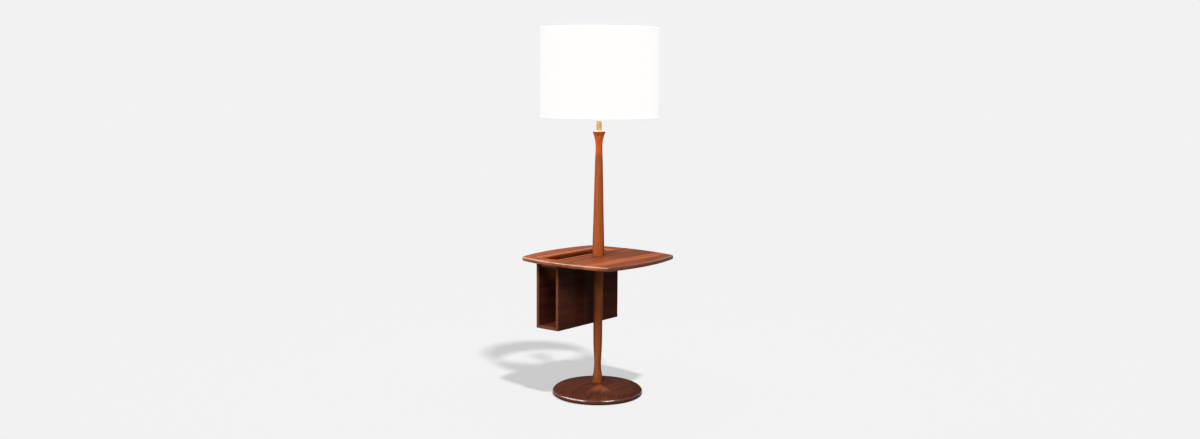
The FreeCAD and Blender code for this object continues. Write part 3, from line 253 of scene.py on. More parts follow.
def board_tones_and_painted_light(finish, here):
    """Tone of each glued-up board by its place across the top, and painted light that pales it towards the
    front.

    A ramp can't hold values below 0, so the tones are read from it around RAMP_MIDDLE. A painted highlight on
    a pale lip and a dark joint run along the slot's inner side, from the slot's front end to the back.
    """
    low, high = BOARD_ENDS[0], BOARD_ENDS[-1]
    stops = []
    for start, end, tone in zip(BOARD_ENDS, BOARD_ENDS[1:], BOARD_TONES):
        for place in (start + BOARD_JOINT, end - BOARD_JOINT):
            stops.append(((place - low) / (high - low), (RAMP_MIDDLE + tone,) * 3))
    across = finish.part(here, 0)
    boards = finish.part(finish.ramp((across - low) / (high - low), stops), 0) - RAMP_MIDDLE
    along = finish.part(here, 1)
    front = 1.0 - finish.between(along, -0.20, 0.06)
    joint = 1.0 - finish.between(abs(across - DARK_JOINT_X), 0.0028, 0.0060)
    # The pale lip band is a painted highlight.
    lip = finish.between(across, LIP_START_X, LIP_START_X + 0.0015)
    lip = lip * (1.0 - finish.between(across, LIP_END_X, LIP_END_X + 0.003))
    past_front = finish.between(along, -SLOT_END_Y - 0.004, -SLOT_END_Y + 0.010)
    return boards + front * FRONT_PAINTED_LIGHT + (lip * LIP_HIGHLIGHT - joint * JOINT_DROP) * past_front - BOARD_DROP


def slot_walls_and_painted_light(finish, here, colour):
    """The slot's cut walls, where the stain soaks in and painted shade deepens down the slot: orange at the
    lip, dark red below, in long streaks.

    They are where a place lies within the slot's sides and ends and doesn't face up.
    """
    low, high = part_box("table_top")
    across, along, height = (finish.part(here, axis) for axis in range(3))
    inside = finish.between(across, SLOT_OUTER_X - SLOT_BLUR, SLOT_OUTER_X + SLOT_BLUR)
    inside = inside * (1.0 - finish.between(across, SLOT_INNER_X - SLOT_BLUR, SLOT_INNER_X + SLOT_BLUR))
    short = 1.0 - finish.between(abs(along), SLOT_END_Y + 0.002, SLOT_END_Y + 0.005)
    steep = 1.0 - finish.between(finish.facing(2), 0.35, 0.85)
    streaks = finish.noise(here, (90.0, 6.0, 160.0), 2.0, 0.5, 1.8)
    # The walls go from orange at the lip to dark red deep in the slot: painted shade.
    rise = (height - low[2]) / (high[2] - low[2]) + (streaks - 0.5) * 0.8
    wall = finish.ramp(rise, [(0.10, srgb(104, 32, 10)), (0.45, srgb(170, 70, 24)),
                              (0.85, srgb(216, 110, 48))])
    return painted_edge_highlight(finish, here, finish.blend(inside * short * steep, colour, wall))


def painted_edge_highlight(finish, here, colour):
    """Painted highlight, pale along the rounded rim past the slot's ends, most in front, in uneven patches.
    """
    up = finish.facing(2)
    front = finish.facing(1) * -1.0
    rounded = finish.between(up, 0.10, 0.35) * (1.0 - finish.between(up, 0.70, 0.92))
    outside = finish.between(abs(finish.part(here, 1)), SLOT_END_Y + 0.005, SLOT_END_Y + 0.015)
    patches = finish.between(finish.noise(here, (26.0, 26.0, 26.0), 3.0, 0.6, 1.6), 0.25, 0.65)
    highlight_share = rounded * outside * finish.between(front, 0.30, 0.85) * (patches * 0.40 + 0.25)
    return finish.blend(highlight_share, colour, srgb(220, 208, 198))


def painted_lit_ends(finish, here, colour):
    """Painted light: the panels' sawn ends paler than their shaded sides, at both ends of the rack."""
    ends = finish.between(abs(finish.facing(1)), 0.7, 0.95)
    grain = finish.noise(here, (500.0, 500.0, 60.0), 2.0)
    pale = finish.blend(grain, srgb(112, 60, 38), srgb(142, 84, 58))
    return finish.blend(ends * 0.85, colour, pale)


NECK_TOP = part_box("pole_neck")[1][2]


def neck_top_darkening(finish, here):
    """Darker red band towards the neck's top, at the flared lip."""
    return finish.between(finish.part(here, 2), NECK_TOP - 0.0040, NECK_TOP - 0.0018) * -0.38


def painted_lit_lip(finish, here, colour):
    """Painted light: the neck's top made pale round the ring, where the bulb lights it from above."""
    top = finish.between(finish.part(here, 2), NECK_TOP - 0.0012, NECK_TOP - 0.0003)
    return finish.blend(top * 0.8, colour, srgb(240, 218, 186))


# The fan is a painted reflection of the pole in the base's gloss.
FAN_AHEAD_X, FAN_AHEAD_Y = 0.62, -0.78
FAN_ASIDE = 0.008
FAN_SLOPE = 1.7


def painted_reflection_and_paler_rim(finish, here):
    """Painted reflection of the pole: an orange fan on the base's front, pointed at the pole's foot. And a
    rim that is paler than the dome.

    The fan opens along one direction across the base: its edges are where the distance ahead of the foot,
    less FAN_SLOPE times the distance aside, reaches a few centimetres.
    """
    across, along = finish.part(here, 0), finish.part(here, 1)
    ahead = across * FAN_AHEAD_X + along * FAN_AHEAD_Y
    aside = across * -FAN_AHEAD_Y + along * FAN_AHEAD_X - FAN_ASIDE
    reach = ahead - abs(aside) * FAN_SLOPE
    fan = finish.between(reach, 0.012, 0.052) * (1.0 - finish.between(ahead, 0.080, 0.125))
    rim = 1.0 - finish.between(finish.facing(2), 0.45, 0.93)
    return fan * 0.42 + rim * 0.12


def darker_foot(finish, here):
    """Pole darker towards its foot."""
    return (1.0 - finish.between(finish.part(here, 2), 0.05, 0.19)) * -0.17


TABLE_WOOD = wood(
    "cherry boards, satin",
    [(0.05, (78, 30, 13)), (0.30, (116, 55, 29)), (0.50, (143, 74, 43)), (0.72, (178, 95, 55)),
     (0.95, (198, 116, 72))],
    ALONG_Y, pith=(0.01, 0.09), ring=0.0062, figure=0.7, gloss=(0.06, 0.9, 0.3), coat_rough=0.08,
    extra=board_tones_and_painted_light, touch=slot_walls_and_painted_light)
POLE_WOOD = wood(
    "turned cherry, satin",
    [(0.10, (100, 46, 22)), (0.42, (156, 80, 41)), (0.70, (182, 99, 55)), (0.95, (198, 119, 72))],
    ALONG_Z, pith=(0.022, 0.030), ring=0.0050, gloss=(0.1, 0.15, 0.12), extra=darker_foot)
NECK_WOOD = wood(
    "orange-red turned wood, satin",
    [(0.02, (70, 16, 6)), (0.20, (140, 50, 18)), (0.45, (198, 92, 40)), (0.70, (214, 106, 52)),
     (0.95, (222, 124, 66))],
    ALONG_Z, pith=(-0.012, 0.020), ring=0.0046, figure=0.9, gloss=(0.1, 0.15, 0.15),
    extra=neck_top_darkening, touch=painted_lit_lip)
BASE_WOOD = wood(
    "dark red-brown wood, gloss",
    [(0.10, (50, 24, 16)), (0.42, (82, 43, 31)), (0.70, (112, 60, 42)), (0.95, (146, 78, 44))],
    ALONG_Y, pith=(0.015, 0.11), ring=0.0058, figure=0.7, gloss=(0.03, 1.0, 0.12), coat_rough=0.19,
    level_from=(0.36, 0.54), extra=painted_reflection_and_paler_rim)
# The rack's tones are darker than the table's cherry, as painted shade under the table top.
SHADE_DARKENED_RACK_WOOD = wood(
    "cherry panels darkened as painted shade, satin",
    [(0.10, (48, 21, 13)), (0.42, (78, 39, 26)), (0.70, (98, 52, 36)), (0.95, (114, 66, 46))],
    ALONG_Y, pith=(0.02, -0.06), ring=0.0055, gloss=(0.05, 0.2, 0.05), rough=0.5, touch=painted_lit_ends)
ROD_WOOD = wood(
    "turned cherry rod",
    [(0.10, (112, 54, 30)), (0.45, (156, 86, 54)), (0.95, (182, 112, 74))],
    ALONG_X, ring=0.0030, figure=0.7, gloss=(0.2, 0.3, 0.3))
DOWEL_WOOD = wood(
    "plain beech",
    [(0.10, (150, 116, 82)), (0.45, (186, 150, 112)), (0.95, (208, 178, 140))],
    ALONG_X, ring=0.002, figure=0.6, gloss=(0.0, 0.0, 0.0), rough=0.65)


# ---- metals ----

def metal(name, colour, dark, rough, scratch=(900.0, 900.0, 40.0), blotch=60.0, depth=0.00002):
    """Bare or lacquered metal: fine lines from noise stretched by scratch, and softer cloudy tarnish."""
    finish = Finish(name, Metallic=1.0)
    place = finish.place()
    clouds = finish.noise(place, (blotch, blotch, blotch), 4.0, 0.6, 1.8)
    lines = finish.noise(place, scratch, 2.0, 0.6, 1.5)
    finish.feed("Base Color", finish.blend(clouds, srgb(*dark), srgb(*colour)))
    finish.feed("Roughness", clouds * 0.10 + lines * 0.10 + (rough - 0.10))
    finish.bump(lines * 0.5 + clouds * 0.5, depth)
    return finish.material


BRASS = metal("polished brass", (214, 176, 104), (186, 140, 72), 0.22)
MATT_BRASS = metal("matt lacquered brass", (206, 172, 124), (180, 138, 90), 0.5)
# The check ring's brass is painted pale, standing in for the bulb's light falling on it.
LIT_PALE_BRASS = metal("polished brass painted pale as lit", (244, 232, 204), (228, 210, 172), 0.34)
SOCKET_BRASS = metal("pressed brass, satin", (206, 166, 98), (176, 134, 70), 0.32,
                     scratch=(700.0, 700.0, 700.0))
STEEL = metal("zinc plated steel", (196, 197, 200), (158, 160, 164), 0.36,
              scratch=(500.0, 500.0, 500.0), blotch=240.0)
ALUMINIUM = metal("rolled aluminium", (222, 223, 225), (196, 198, 201), 0.30,
                  scratch=(300.0, 300.0, 2400.0))
IRON = metal("sand-cast iron", (78, 77, 78), (44, 43, 44), 0.72,
             scratch=(420.0, 420.0, 420.0), blotch=900.0, depth=0.0004)


# ---- moulded, glass, card, felt and wire ----

def moulded(name, colour, rough, grain=1800.0, depth=0.00002, **constants):
    """Moulded or fired surface: its colour is cloudy by a few percent, with a fine pebbled grain."""
    finish = Finish(name, **constants)
    place = finish.place()
    clouds = finish.noise(place, (90.0, 90.0, 90.0), 3.0, 0.6, 1.6)
    pebbles = finish.noise(place, (grain, grain, grain), 1.0)
    light = tuple(min(255, channel * 1.12 + 4) for channel in colour)
    finish.feed("Base Color", finish.blend(clouds, srgb(*colour), srgb(*light)))
    finish.feed("Roughness", clouds * 0.08 + pebbles * 0.06 + (rough - 0.07))
    finish.bump(pebbles, depth)
    return finish.material


BLACK_PLASTIC = moulded("black moulded plastic", (24, 24, 25), 0.34, IOR=1.5)
BLACK_GLASS = moulded("black fired glass", (20, 16, 26), 0.12, grain=500.0, IOR=1.52)
CARD = moulded("pressed card", (150, 124, 92), 0.88, grain=700.0, depth=0.0001)
FELT = moulded("dark green felt", (34, 44, 38), 0.95, grain=1300.0, depth=0.0005,
               Sheen_Weight=0.5, Sheen_Roughness=0.6)
WHITE_WIRE = moulded("white enamelled wire", (226, 225, 220), 0.30, grain=700.0,
                     Coat_Weight=0.4, Coat_Roughness=0.15)
CLEAR_GLASS = moulded("clear glass", (236, 240, 240), 0.05, grain=300.0, depth=0.000005,
                      Transmission_Weight=0.9, IOR=1.5)


BULB_GLOW = 22.0


def lit_glass():
    """Frosted bulb glass with the lamp on: brightest at its crown and warmer towards the cap."""
    finish = Finish("frosted bulb glass, lit", IOR=1.5, Emission_Strength=BULB_GLOW)
    place = finish.place()
    low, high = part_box("bulb_glass")
    rise = finish.between(finish.part(place, 2), low[2], high[2])
    frost = finish.noise(place, (1600.0, 1600.0, 1600.0), 2.0)
    finish.feed("Base Color", finish.blend(frost, srgb(232, 228, 218), srgb(246, 244, 238)))
    finish.feed("Emission Color", finish.blend(rise, srgb(255, 206, 150), srgb(255, 236, 206)))
    finish.feed("Roughness", frost * 0.1 + 0.5)
    finish.bump(frost, 0.00002)
    return finish.material


BULB_GLASS = lit_glass()


# ---- shade cloth ----

THREAD = 0.0007
CLOTH_GLOW = 0.885
HEM_GLOW_SHARE = 0.88


def linen(name, glow, warm):
    """White linen lit from behind, woven on the cloth's own map: u along its length, v up it, in metres.

    Two sines make the threads over and under each other, and noise stretched along each direction makes
    the thicker slubs.
    """
    finish = Finish(name, Sheen_Weight=0.15, Sheen_Roughness=0.5, Specular_IOR_Level=0.2,
                    Emission_Strength=glow)
    flat = finish.add("ShaderNodeTexCoord", output="UV")
    weft = finish.part(flat, 1) * (math.tau / THREAD)
    warp = finish.part(flat, 0) * (math.tau / THREAD)
    weave = (weft.maths("SINE", weft) * warp.maths("SINE", warp)) * 0.5 + 0.5
    slubs = finish.noise(flat, (18.0, 1100.0, 1.0), 2.0, 0.5, 1.6)
    ends = finish.noise(flat, (1100.0, 22.0, 1.0), 2.0, 0.5, 1.6)
    thick = slubs * 0.6 + ends * 0.4
    finish.feed("Base Color", finish.blend(thick, srgb(228, 224, 214), srgb(248, 246, 240)))
    finish.feed("Emission Color", finish.blend(thick, srgb(*warm), srgb(253, 252, 252)))
    finish.feed("Roughness", weave * 0.08 + 0.82)
    finish.bump(weave * 0.4 + thick * 0.6, 0.00012)
    return finish.material


LINEN = linen("white linen, lit", CLOTH_GLOW, (246, 245, 243))
HEM_LINEN = linen("white linen hem, lit", CLOTH_GLOW * HEM_GLOW_SHARE, (250, 246, 238))


# ---- surfaces ----

def surface(name, points, flat):
    """Mesh of a grid of points that is closed round its columns and round its rows.

    points has one row for each step along the section and one column for each step round the pole axis;
    flat holds each point's place on the cloth's map, with one more row and column where the grid closes.
    """
    rows, columns = points.shape[:2]
    row = np.arange(rows)[:, None]
    column = np.arange(columns)[None, :]
    next_row = (row + 1) % rows
    next_column = (column + 1) % columns
    corners = np.stack([row * columns + column, row * columns + next_column,
                        next_row * columns + next_column, next_row * columns + column], axis=-1)
    mesh = bpy.data.meshes.new(name)
    mesh.from_pydata(points.reshape(-1, 3), [], corners.reshape(-1, 4))
    map_corners = np.stack([flat[:-1, :-1], flat[:-1, 1:], flat[1:, 1:], flat[1:, :-1]], axis=2)
    mesh.uv_layers.new(name="cloth").data.foreach_set("uv", map_corners.reshape(-1).astype(np.float32))
    mesh.shade_smooth()
    piece = bpy.data.objects.new(name, mesh)
    bpy.context.scene.collection.objects.link(piece)
    return piece


def section_lengths(section):
    """Distance along a closed section of (radius, height) points, from its first point and back to it."""
    steps = np.diff(np.vstack([section, section[:1]]), axis=0)
    return np.concatenate([[0.0], np.cumsum(np.hypot(steps[:, 0], steps[:, 1]))])


def turned(name, section, columns, swell=None):
    """Surface of revolution of a closed section, given anticlockwise as (radius, height) points.

    swell is a function of the angle and the height that adds to the radius.
    """
    angle = np.linspace(0.0, math.tau, columns, endpoint=False)[None, :]
    radius = section[:, 0][:, None]
    height = section[:, 1][:, None]
    if swell is not None:
        radius = radius + swell(angle, height)
    points = np.stack([radius * np.cos(angle), radius * np.sin(angle), height + 0.0 * angle], axis=-1)
    along = np.linspace(0.0, math.tau, columns + 1)[None, :] * section[:, 0].max()
    up = section_lengths(section)[:, None]
    flat = np.stack([along + 0.0 * up, up + 0.0 * along], axis=-1)
    return surface(name, points, flat)


def arc(centre, radius, start, end, steps):
    """Points on an arc about a centre in the section plane, from one angle in degrees to another."""
    turn = np.radians(np.linspace(start, end, steps))
    return np.stack([centre[0] + radius * np.cos(turn), centre[1] + radius * np.sin(turn)], axis=-1)


def line(start, end, steps):
    """Evenly spaced points on a straight line, without its end."""
    share = np.linspace(0.0, 1.0, steps, endpoint=False)[:, None]
    return np.array(start) * (1 - share) + np.array(end) * share


# ---- shade ----

CLOTH_DEPTH = 0.0012
HEM_DEPTH = 0.0056
HEM_WIDTH = 0.0085
HEM_INNER_WIDTH = 0.0042
HEM_THICKNESS = 0.0005
SEAM_ANGLE = math.radians(128.0)
SEAM_WIDTH = 0.011
SEAM_STEP = 0.0004
SEAM_SLOPE = 0.0008
WAVE, WAVE_COUNT, WAVE_LEAN = 0.00012, 5, 9.0
CLOTH_COLUMNS, HEM_COLUMNS = 720, 360
SHADE_LOW, SHADE_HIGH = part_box("shade_shell")


def seam(angle, height):
    """The cloth's lap, a low step up and down again a seam's width on, and shallow waves round the drum."""
    turn = (angle - SEAM_ANGLE) * SHADE_HIGH[0]
    lap = (np.tanh(turn / SEAM_SLOPE) - np.tanh((turn - SEAM_WIDTH) / SEAM_SLOPE)) / 2
    return SEAM_STEP * lap + WAVE * np.sin(WAVE_COUNT * angle + WAVE_LEAN * height)


def shade_cloth():
    """Drum wall: straight outside and inside, with both edges under the hems."""
    outer = SHADE_HIGH[0] - SEAM_STEP - WAVE
    inner = SHADE_HIGH[0] - CLOTH_DEPTH
    bottom, top = SHADE_LOW[2], SHADE_HIGH[2]
    section = np.vstack([line((outer, bottom), (outer, top), 40), line((outer, top), (inner, top), 2),
                         line((inner, top), (inner, bottom), 20), line((inner, bottom), (outer, bottom), 2)])
    cloth = turned("shade_linen", section, CLOTH_COLUMNS, seam)
    cloth.data.materials.append(LINEN)
    return cloth


def hem(name, node, upward):
    """Tape folded over the drum's edge and its wire: an outer leg, a rounded fold and a shorter inner leg.

    Its section follows the tape's outside from the end of the outer leg to the end of the inner one, and
    comes back a tape's thickness further in.
    """
    low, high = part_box(node)
    edge = high[2] if upward else low[2]
    sign = 1.0 if upward else -1.0
    outer = high[0]
    inner = outer - HEM_DEPTH
    fold = HEM_DEPTH / 2
    middle = outer - fold
    fold_z = edge - sign * fold
    outer_end = edge - sign * HEM_WIDTH
    inner_end = edge - sign * HEM_INNER_WIDTH
    outside = np.vstack([line((outer, outer_end), (outer, fold_z), 6),
                         arc((middle, fold_z), fold, 0.0, sign * 180.0, 24),
                         line((inner, fold_z), (inner, inner_end), 3)])
    outer_back, inner_back = outer - HEM_THICKNESS, inner + HEM_THICKNESS
    inside = np.vstack([line((inner_back, inner_end), (inner_back, fold_z), 3),
                        arc((middle, fold_z), fold - HEM_THICKNESS, sign * 180.0, 0.0, 24),
                        line((outer_back, fold_z), (outer_back, outer_end), 6),
                        [(outer_back, outer_end)]])
    section = np.vstack([outside, inside])
    tape = turned(name, section if upward else section[::-1], HEM_COLUMNS)
    tape.data.materials.append(HEM_LINEN)
    return tape


SHADE_CLOTH = shade_cloth()
TOP_HEM = hem("shade_top_hem", "shade_top_trim", True)
BOTTOM_HEM = hem("shade_bottom_hem", "shade_bottom_trim", False)

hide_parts("shade_shell")
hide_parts("shade_top_trim")
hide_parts("shade_bottom_trim")
for piece in (SHADE_CLOTH, TOP_HEM, BOTTOM_HEM):
    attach(piece, "shade")


# ---- base ----

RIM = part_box("base_disc")[1][0]
BASE_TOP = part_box("base_disc")[1][2]
BASE_UNDERSIDE = 0.002
RIM_FOOT_INSET = 0.0042
BAND_LOW, BAND_HIGH = 0.009, 0.0115
SHOULDER_WIDTH = 0.030
SHOULDER_RISE_PULL, SHOULDER_DOME_PULL = 0.011, 0.016
DOME_EDGE_INSET, DOME_EDGE_HEIGHT, DOME_BOW = 0.0101, 0.030, 0.0026
POLE_FOOT_RADIUS = 0.0195
RECESS_RADIUS, RECESS_TOP = 0.120, 0.030
PIPE_CLEARANCE = 0.0003
PIPE_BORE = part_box("lower_pipe")[1][0] + PIPE_CLEARANCE
INLET_HEIGHT = 0.009
# Radius of each round bar that cuts the cord's inlet, and where it starts and ends along X.
INLET_BARS = ((0.00665, -0.180, -0.1652), (0.00505, -0.170, -0.1452), (0.0042, -0.150, -0.115))
BASE_COLUMNS = 288
SHARP_EDGE = math.radians(40.0)


def dome(radius):
    """Height and inward slope of the dome: a straight rise from its edge to the pole's foot, bowed up."""
    span = RIM - DOME_EDGE_INSET - POLE_FOOT_RADIUS
    rise = BASE_TOP - DOME_EDGE_HEIGHT
    share = (RIM - DOME_EDGE_INSET - radius) / span
    height = DOME_EDGE_HEIGHT + rise * share + 4 * DOME_BOW * share * (1 - share)
    return height, (rise + 4 * DOME_BOW * (1 - 2 * share)) / span


def shoulder():
    """Cubic curve that leaves the rim's upright band and meets the dome on the dome's own slope."""
    end = RIM - SHOULDER_WIDTH
    height, slope = dome(end)
    ends = np.array([(RIM, BAND_HIGH), (end, height)])
    pulls = ends + np.array([(0.0, SHOULDER_RISE_PULL), (SHOULDER_DOME_PULL, -slope * SHOULDER_DOME_PULL)])
    t = np.linspace(0.0, 1.0, 40, endpoint=False)[:, None]
    near = ends[0] * (1 - t) + 3 * pulls[0] * t
    far = ends[1] * t + 3 * pulls[1] * (1 - t)
    return near * (1 - t) ** 2 + far * t ** 2


def inlet_bar(radius, start, end):
    """Round bar along X, from start to end, at the height of the cord's inlet."""
    bar = bmesh.new()
    place = Matrix.Translation(((start + end) / 2, 0.0, INLET_HEIGHT)) @ Matrix.Rotation(math.pi / 2, 4, "Y")
    bmesh.ops.create_cone(bar, cap_ends=True, segments=64, radius1=radius, radius2=radius,
                          depth=end - start, matrix=place)
    mesh = bpy.data.meshes.new("inlet_bar")
    bar.to_mesh(mesh)
    bar.free()
    cutter = bpy.data.objects.new("inlet_bar", mesh)
    bpy.context.scene.collection.objects.link(cutter)
    return cutter


def turned_base():
    """Base with its shoulder rounded smoothly into the dome, the recess for the weight, and the cord's inlet.

    Its section starts at the rim's foot and goes up the rim, over the shoulder and the dome, down the pipe's
    bore and round the recess.
    """
    foot_rise = BAND_LOW - BASE_UNDERSIDE
    round_radius = (RIM_FOOT_INSET ** 2 + foot_rise ** 2) / (2 * RIM_FOOT_INSET)
    start = -math.degrees(math.asin(foot_rise / round_radius))
    over = np.linspace(RIM - SHOULDER_WIDTH, POLE_FOOT_RADIUS, 40)
    section = np.vstack([arc((RIM - round_radius, BAND_LOW), round_radius, start, 0.0, 12), shoulder(),
                         np.stack([over, dome(over)[0]], axis=-1),
                         [(PIPE_BORE, BASE_TOP), (PIPE_BORE, RECESS_TOP), (RECESS_RADIUS, RECESS_TOP),
                          (RECESS_RADIUS, BASE_UNDERSIDE)]])
    piece = turned("base_turned", section, BASE_COLUMNS)
    piece.data.materials.append(BASE_WOOD)
    bars = [inlet_bar(*bar) for bar in INLET_BARS]
    for bar in bars:
        cut = piece.modifiers.new(bar.name, "BOOLEAN")
        cut.operation = "DIFFERENCE"
        cut.solver = "EXACT"
        cut.object = bar
    seen = piece.evaluated_get(bpy.context.evaluated_depsgraph_get())
    mesh = bpy.data.meshes.new_from_object(seen)
    piece.modifiers.clear()
    piece.data = mesh
    mesh.set_sharp_from_angle(angle=SHARP_EDGE)
    for bar in bars:
        bpy.data.objects.remove(bar)
    return piece


BASE = turned_base()
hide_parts("base_disc")
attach(BASE, "lamp")


# ---- finishes of the solids ----

FINISHES = {
    "table_wood": TABLE_WOOD, "pole_wood": POLE_WOOD, "neck_wood": NECK_WOOD, "base_wood": BASE_WOOD,
    "rack_wood": SHADE_DARKENED_RACK_WOOD, "dowel_wood": DOWEL_WOOD, "felt": FELT, "iron": IRON, "steel": STEEL,
    "brass": BRASS, "brass_matt": MATT_BRASS, "socket_brass": SOCKET_BRASS, "aluminium": ALUMINIUM,
    "black_plastic": BLACK_PLASTIC, "card": CARD, "bulb_glass": BULB_GLASS, "clear_glass": CLEAR_GLASS,
    "black_glass": BLACK_GLASS, "shade_fabric": LINEN, "shade_tape": HEM_LINEN, "white_wire": WHITE_WIRE,
}
NODE_FINISHES = {"check_ring": LIT_PALE_BRASS, "rack_rod_front": ROD_WOOD, "rack_rod_rear": ROD_WOOD}
for subpart in frame["record"]["subparts"]:
    solid = frame["nodes"][subpart["node"]]
    for slot in solid.material_slots:
        slot.material = NODE_FINISHES.get(subpart["node"], FINISHES[subpart["material_slot"]])


# ---- camera ----

CAMERA_PLACE = Vector((2.6814, -3.3617, 1.16945))
CAMERA_AZIMUTH = math.radians(38.587)
CAMERA_PITCH = 0.119074
CAMERA_ROLL = 0.0065
CAMERA_SHIFT_X = 0.0014
CAMERA_LENS = 35.393

LOOK = Vector((-math.sin(CAMERA_AZIMUTH), math.cos(CAMERA_AZIMUTH), 0.0))
RIGHT = Vector((LOOK.y, -LOOK.x, 0.0))


def studio_camera():
    """Camera that looks a little down, levelled but for a slight roll."""
    camera = bpy.data.cameras.new("eye")
    camera.sensor_fit = "HORIZONTAL"
    camera.sensor_width = 36.0
    camera.lens = CAMERA_LENS
    camera.shift_x = CAMERA_SHIFT_X
    eye = bpy.data.objects.new("eye", camera)
    look = LOOK * math.cos(CAMERA_PITCH) - Vector((0.0, 0.0, math.sin(CAMERA_PITCH)))
    eye.location = CAMERA_PLACE
    eye.rotation_mode = "QUATERNION"
    eye.rotation_quaternion = look.to_track_quat("-Z", "Y") @ Quaternion((0.0, 0.0, 1.0), CAMERA_ROLL)
    bpy.context.scene.collection.objects.link(eye)
    bpy.context.scene.camera = eye


studio_camera()


# ---- studio ----
# The sun lights only the floor, whose own glow makes up the rest of the background's level.

BACKGROUND = srgb(242, 242, 242)
WHITE = (1.0, 1.0, 1.0)
FILL_LIGHT = 0.25
FLOOR_HALF = 60.0
FLOOR_BOUNCE = 0.12
FLOOR_SHADOW_SHARE = 0.12
SUN_STRENGTH = 8.6
SUN_SIDE, SUN_ELEVATION = 22.0, 62.0
SUN_WIDTH = math.radians(3.5)
FLOOR_LIGHT = SUN_STRENGTH * math.sin(math.radians(SUN_ELEVATION)) / math.pi + FILL_LIGHT
FLOOR_GLOW = 1.0 - FLOOR_SHADOW_SHARE * FLOOR_LIGHT / BACKGROUND[0]


def view_ray_share(tree):
    """1 for rays from the camera, off gloss and through glass, and 0 for diffuse light."""
    path = tree.nodes.new("ShaderNodeLightPath")
    total = path.outputs["Is Camera Ray"]
    for name in ("Is Glossy Ray", "Is Transmission Ray"):
        most = tree.nodes.new("ShaderNodeMath")
        most.operation = "MAXIMUM"
        tree.links.new(total, most.inputs[0])
        tree.links.new(path.outputs[name], most.inputs[1])
        total = most.outputs[0]
    return total


def split_by_ray(tree, unseen, seen):
    """Shader output that is one shader for diffuse light and another for all that the eye sees."""
    either = tree.nodes.new("ShaderNodeMixShader")
    tree.links.new(view_ray_share(tree), either.inputs[0])
    tree.links.new(unseen.outputs[0], either.inputs[1])
    tree.links.new(seen.outputs[0], either.inputs[2])
    return either.outputs[0]


def glowing(tree, kind, colour, strength):
    """Background or emission node of one colour and strength."""
    node = tree.nodes.new(kind)
    node.inputs["Color"].default_value = (*colour, 1.0)
    node.inputs["Strength"].default_value = strength
    return node


def studio_world():
    """Pale background for the eye and for reflections, and a plain soft fill for everything else."""
    world = bpy.data.worlds.new("studio")
    bpy.context.scene.world = world
    world.use_nodes = True
    tree = world.node_tree
    tree.nodes.remove(tree.nodes["Background"])
    fill = glowing(tree, "ShaderNodeBackground", WHITE, FILL_LIGHT)
    pale = glowing(tree, "ShaderNodeBackground", BACKGROUND, 1.0)
    tree.links.new(split_by_ray(tree, fill, pale), tree.nodes["World Output"].inputs[0])


def floor_material():
    """A glow of the background's colour with a little diffuse grey, which takes the object's shadow."""
    material = bpy.data.materials.new("pale floor")
    material.use_nodes = True
    tree = material.node_tree
    tree.nodes.remove(tree.nodes["Principled BSDF"])
    shadowed = tree.nodes.new("ShaderNodeBsdfDiffuse")
    shadowed.inputs["Color"].default_value = (*[FLOOR_SHADOW_SHARE] * 3, 1.0)
    glow = glowing(tree, "ShaderNodeEmission", BACKGROUND, FLOOR_GLOW)
    bounce = glowing(tree, "ShaderNodeEmission", WHITE, FLOOR_BOUNCE)
    both = tree.nodes.new("ShaderNodeAddShader")
    tree.links.new(shadowed.outputs[0], both.inputs[0])
    tree.links.new(glow.outputs[0], both.inputs[1])
    tree.links.new(split_by_ray(tree, bounce, both), tree.nodes["Material Output"].inputs[0])
    return material


def studio_floor():
    """Level square floor about the object's foot."""
    mesh = bpy.data.meshes.new("floor")
    corners = [(x * FLOOR_HALF, y * FLOOR_HALF, 0.0) for x, y in ((-1, -1), (1, -1), (1, 1), (-1, 1))]
    mesh.from_pydata(corners, [], [(0, 1, 2, 3)])
    mesh.materials.append(floor_material())
    floor = bpy.data.objects.new("floor", mesh)
    bpy.context.scene.collection.objects.link(floor)
    return floor


studio_world()
FLOOR = studio_floor()


# ---- lights ----

def from_camera(side, elevation):
    """Unit direction of a light, turned from the camera's side by an angle to the right and raised."""
    side = math.radians(side)
    elevation = math.radians(elevation)
    level = -LOOK * math.cos(side) + RIGHT * math.sin(side)
    return level * math.cos(elevation) + Vector((0.0, 0.0, math.sin(elevation)))


def hang_light(name, light, side, elevation, distance, aim, receivers):
    """Light that faces the pole's axis at the height aim from a distance, and lights only its receivers."""
    lamp = bpy.data.objects.new(name, light)
    direction = from_camera(side, elevation)
    lamp.location = Vector((0.0, 0.0, aim)) + direction * distance
    lamp.rotation_euler = direction.to_track_quat("Z", "Y").to_euler()
    bpy.context.scene.collection.objects.link(lamp)
    lamp.light_linking.receiver_collection = receivers
    return lamp


def softbox(name, receivers, power, size, side, elevation, distance, aim=0.6):
    """Rectangular light of one width and height."""
    light = bpy.data.lights.new(name, "AREA")
    light.shape = "RECTANGLE"
    light.size, light.size_y = size
    light.energy = power
    return hang_light(name, light, side, elevation, distance, aim, receivers)


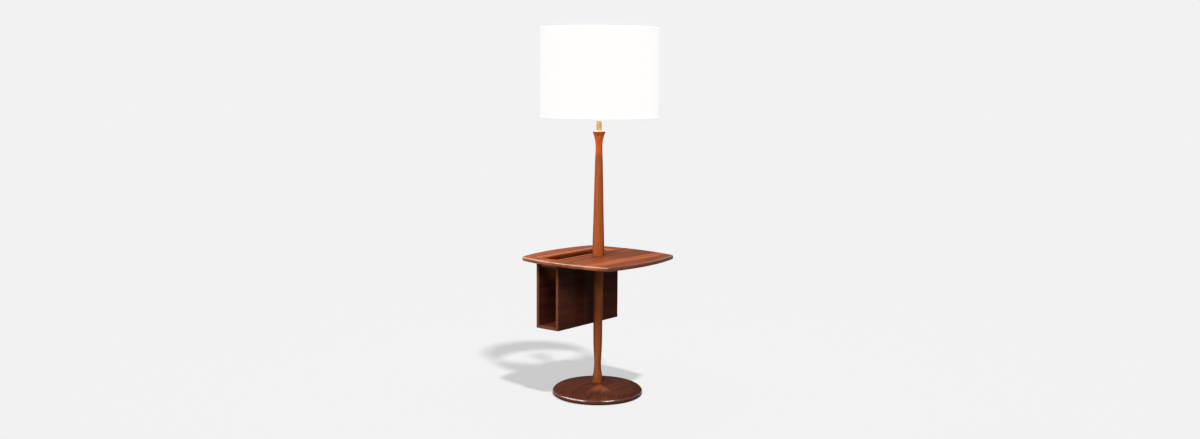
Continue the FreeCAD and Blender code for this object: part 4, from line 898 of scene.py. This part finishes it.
def group(name, pieces):
    """Collection of the pieces that a light reaches."""
    collection = bpy.data.collections.new(name)
    for piece in pieces:
        collection.objects.link(piece)
    return collection


# The floor and the shade's cloth glow by themselves, so the softboxes leave them out. The rim strips only
# give the base's rim its gloss.
GLOWING = (FLOOR, SHADE_CLOTH, TOP_HEM, BOTTOM_HEM)
OBJECT_ONLY = group("lit by the softboxes", [piece for piece in bpy.context.scene.objects
                                             if piece.type == "MESH" and piece not in GLOWING])
BELOW_SHADE = group("lit warm from the shade", [frame["nodes"][node] for node in
                                                ("upper_pole", "pole_neck", "check_ring", "neck_tube")])
BASE_ONLY = group("glossed along the base's rim", [BASE])
FLOOR_ONLY = group("lit by the floor's light", [FLOOR])

shade_glow = softbox("warm glow below the shade", BELOW_SHADE, power=1.6, size=(0.3, 0.2),
                     side=-38.0, elevation=12.0, distance=0.6, aim=0.97)
shade_glow.data.color = srgb(255, 232, 204)
left_rim_strip = softbox("left rim strip", BASE_ONLY, power=230.0, size=(3.8, 0.8),
                         side=-64.0, elevation=20.0, distance=2.9, aim=0.02)
left_rim_strip.visible_diffuse = False
right_rim_strip = softbox("right rim strip", BASE_ONLY, power=76.0, size=(1.2, 0.8),
                          side=29.0, elevation=20.0, distance=2.9, aim=0.02)
right_rim_strip.visible_diffuse = False
softbox("front softbox", OBJECT_ONLY, power=78.0, size=(1.4, 1.0), side=-22.0, elevation=46.0, distance=3.0)
softbox("left strip", OBJECT_ONLY, power=36.0, size=(4.2, 0.4), side=-80.0, elevation=22.0, distance=2.9)
softbox("right strip", OBJECT_ONLY, power=16.0, size=(1.8, 0.4), side=31.0, elevation=22.0, distance=2.9)
softbox("back softbox", OBJECT_ONLY, power=8.0, size=(1.4, 1.0), side=165.0, elevation=30.0, distance=3.0)

sun = bpy.data.lights.new("floor light", "SUN")
sun.energy = SUN_STRENGTH
sun.angle = SUN_WIDTH
hang_light("floor light", sun, SUN_SIDE, SUN_ELEVATION, distance=0.0, aim=0.0, receivers=FLOOR_ONLY)

bpy.context.scene.view_settings.view_transform = "Standard"

bpy.context.view_layer.update()
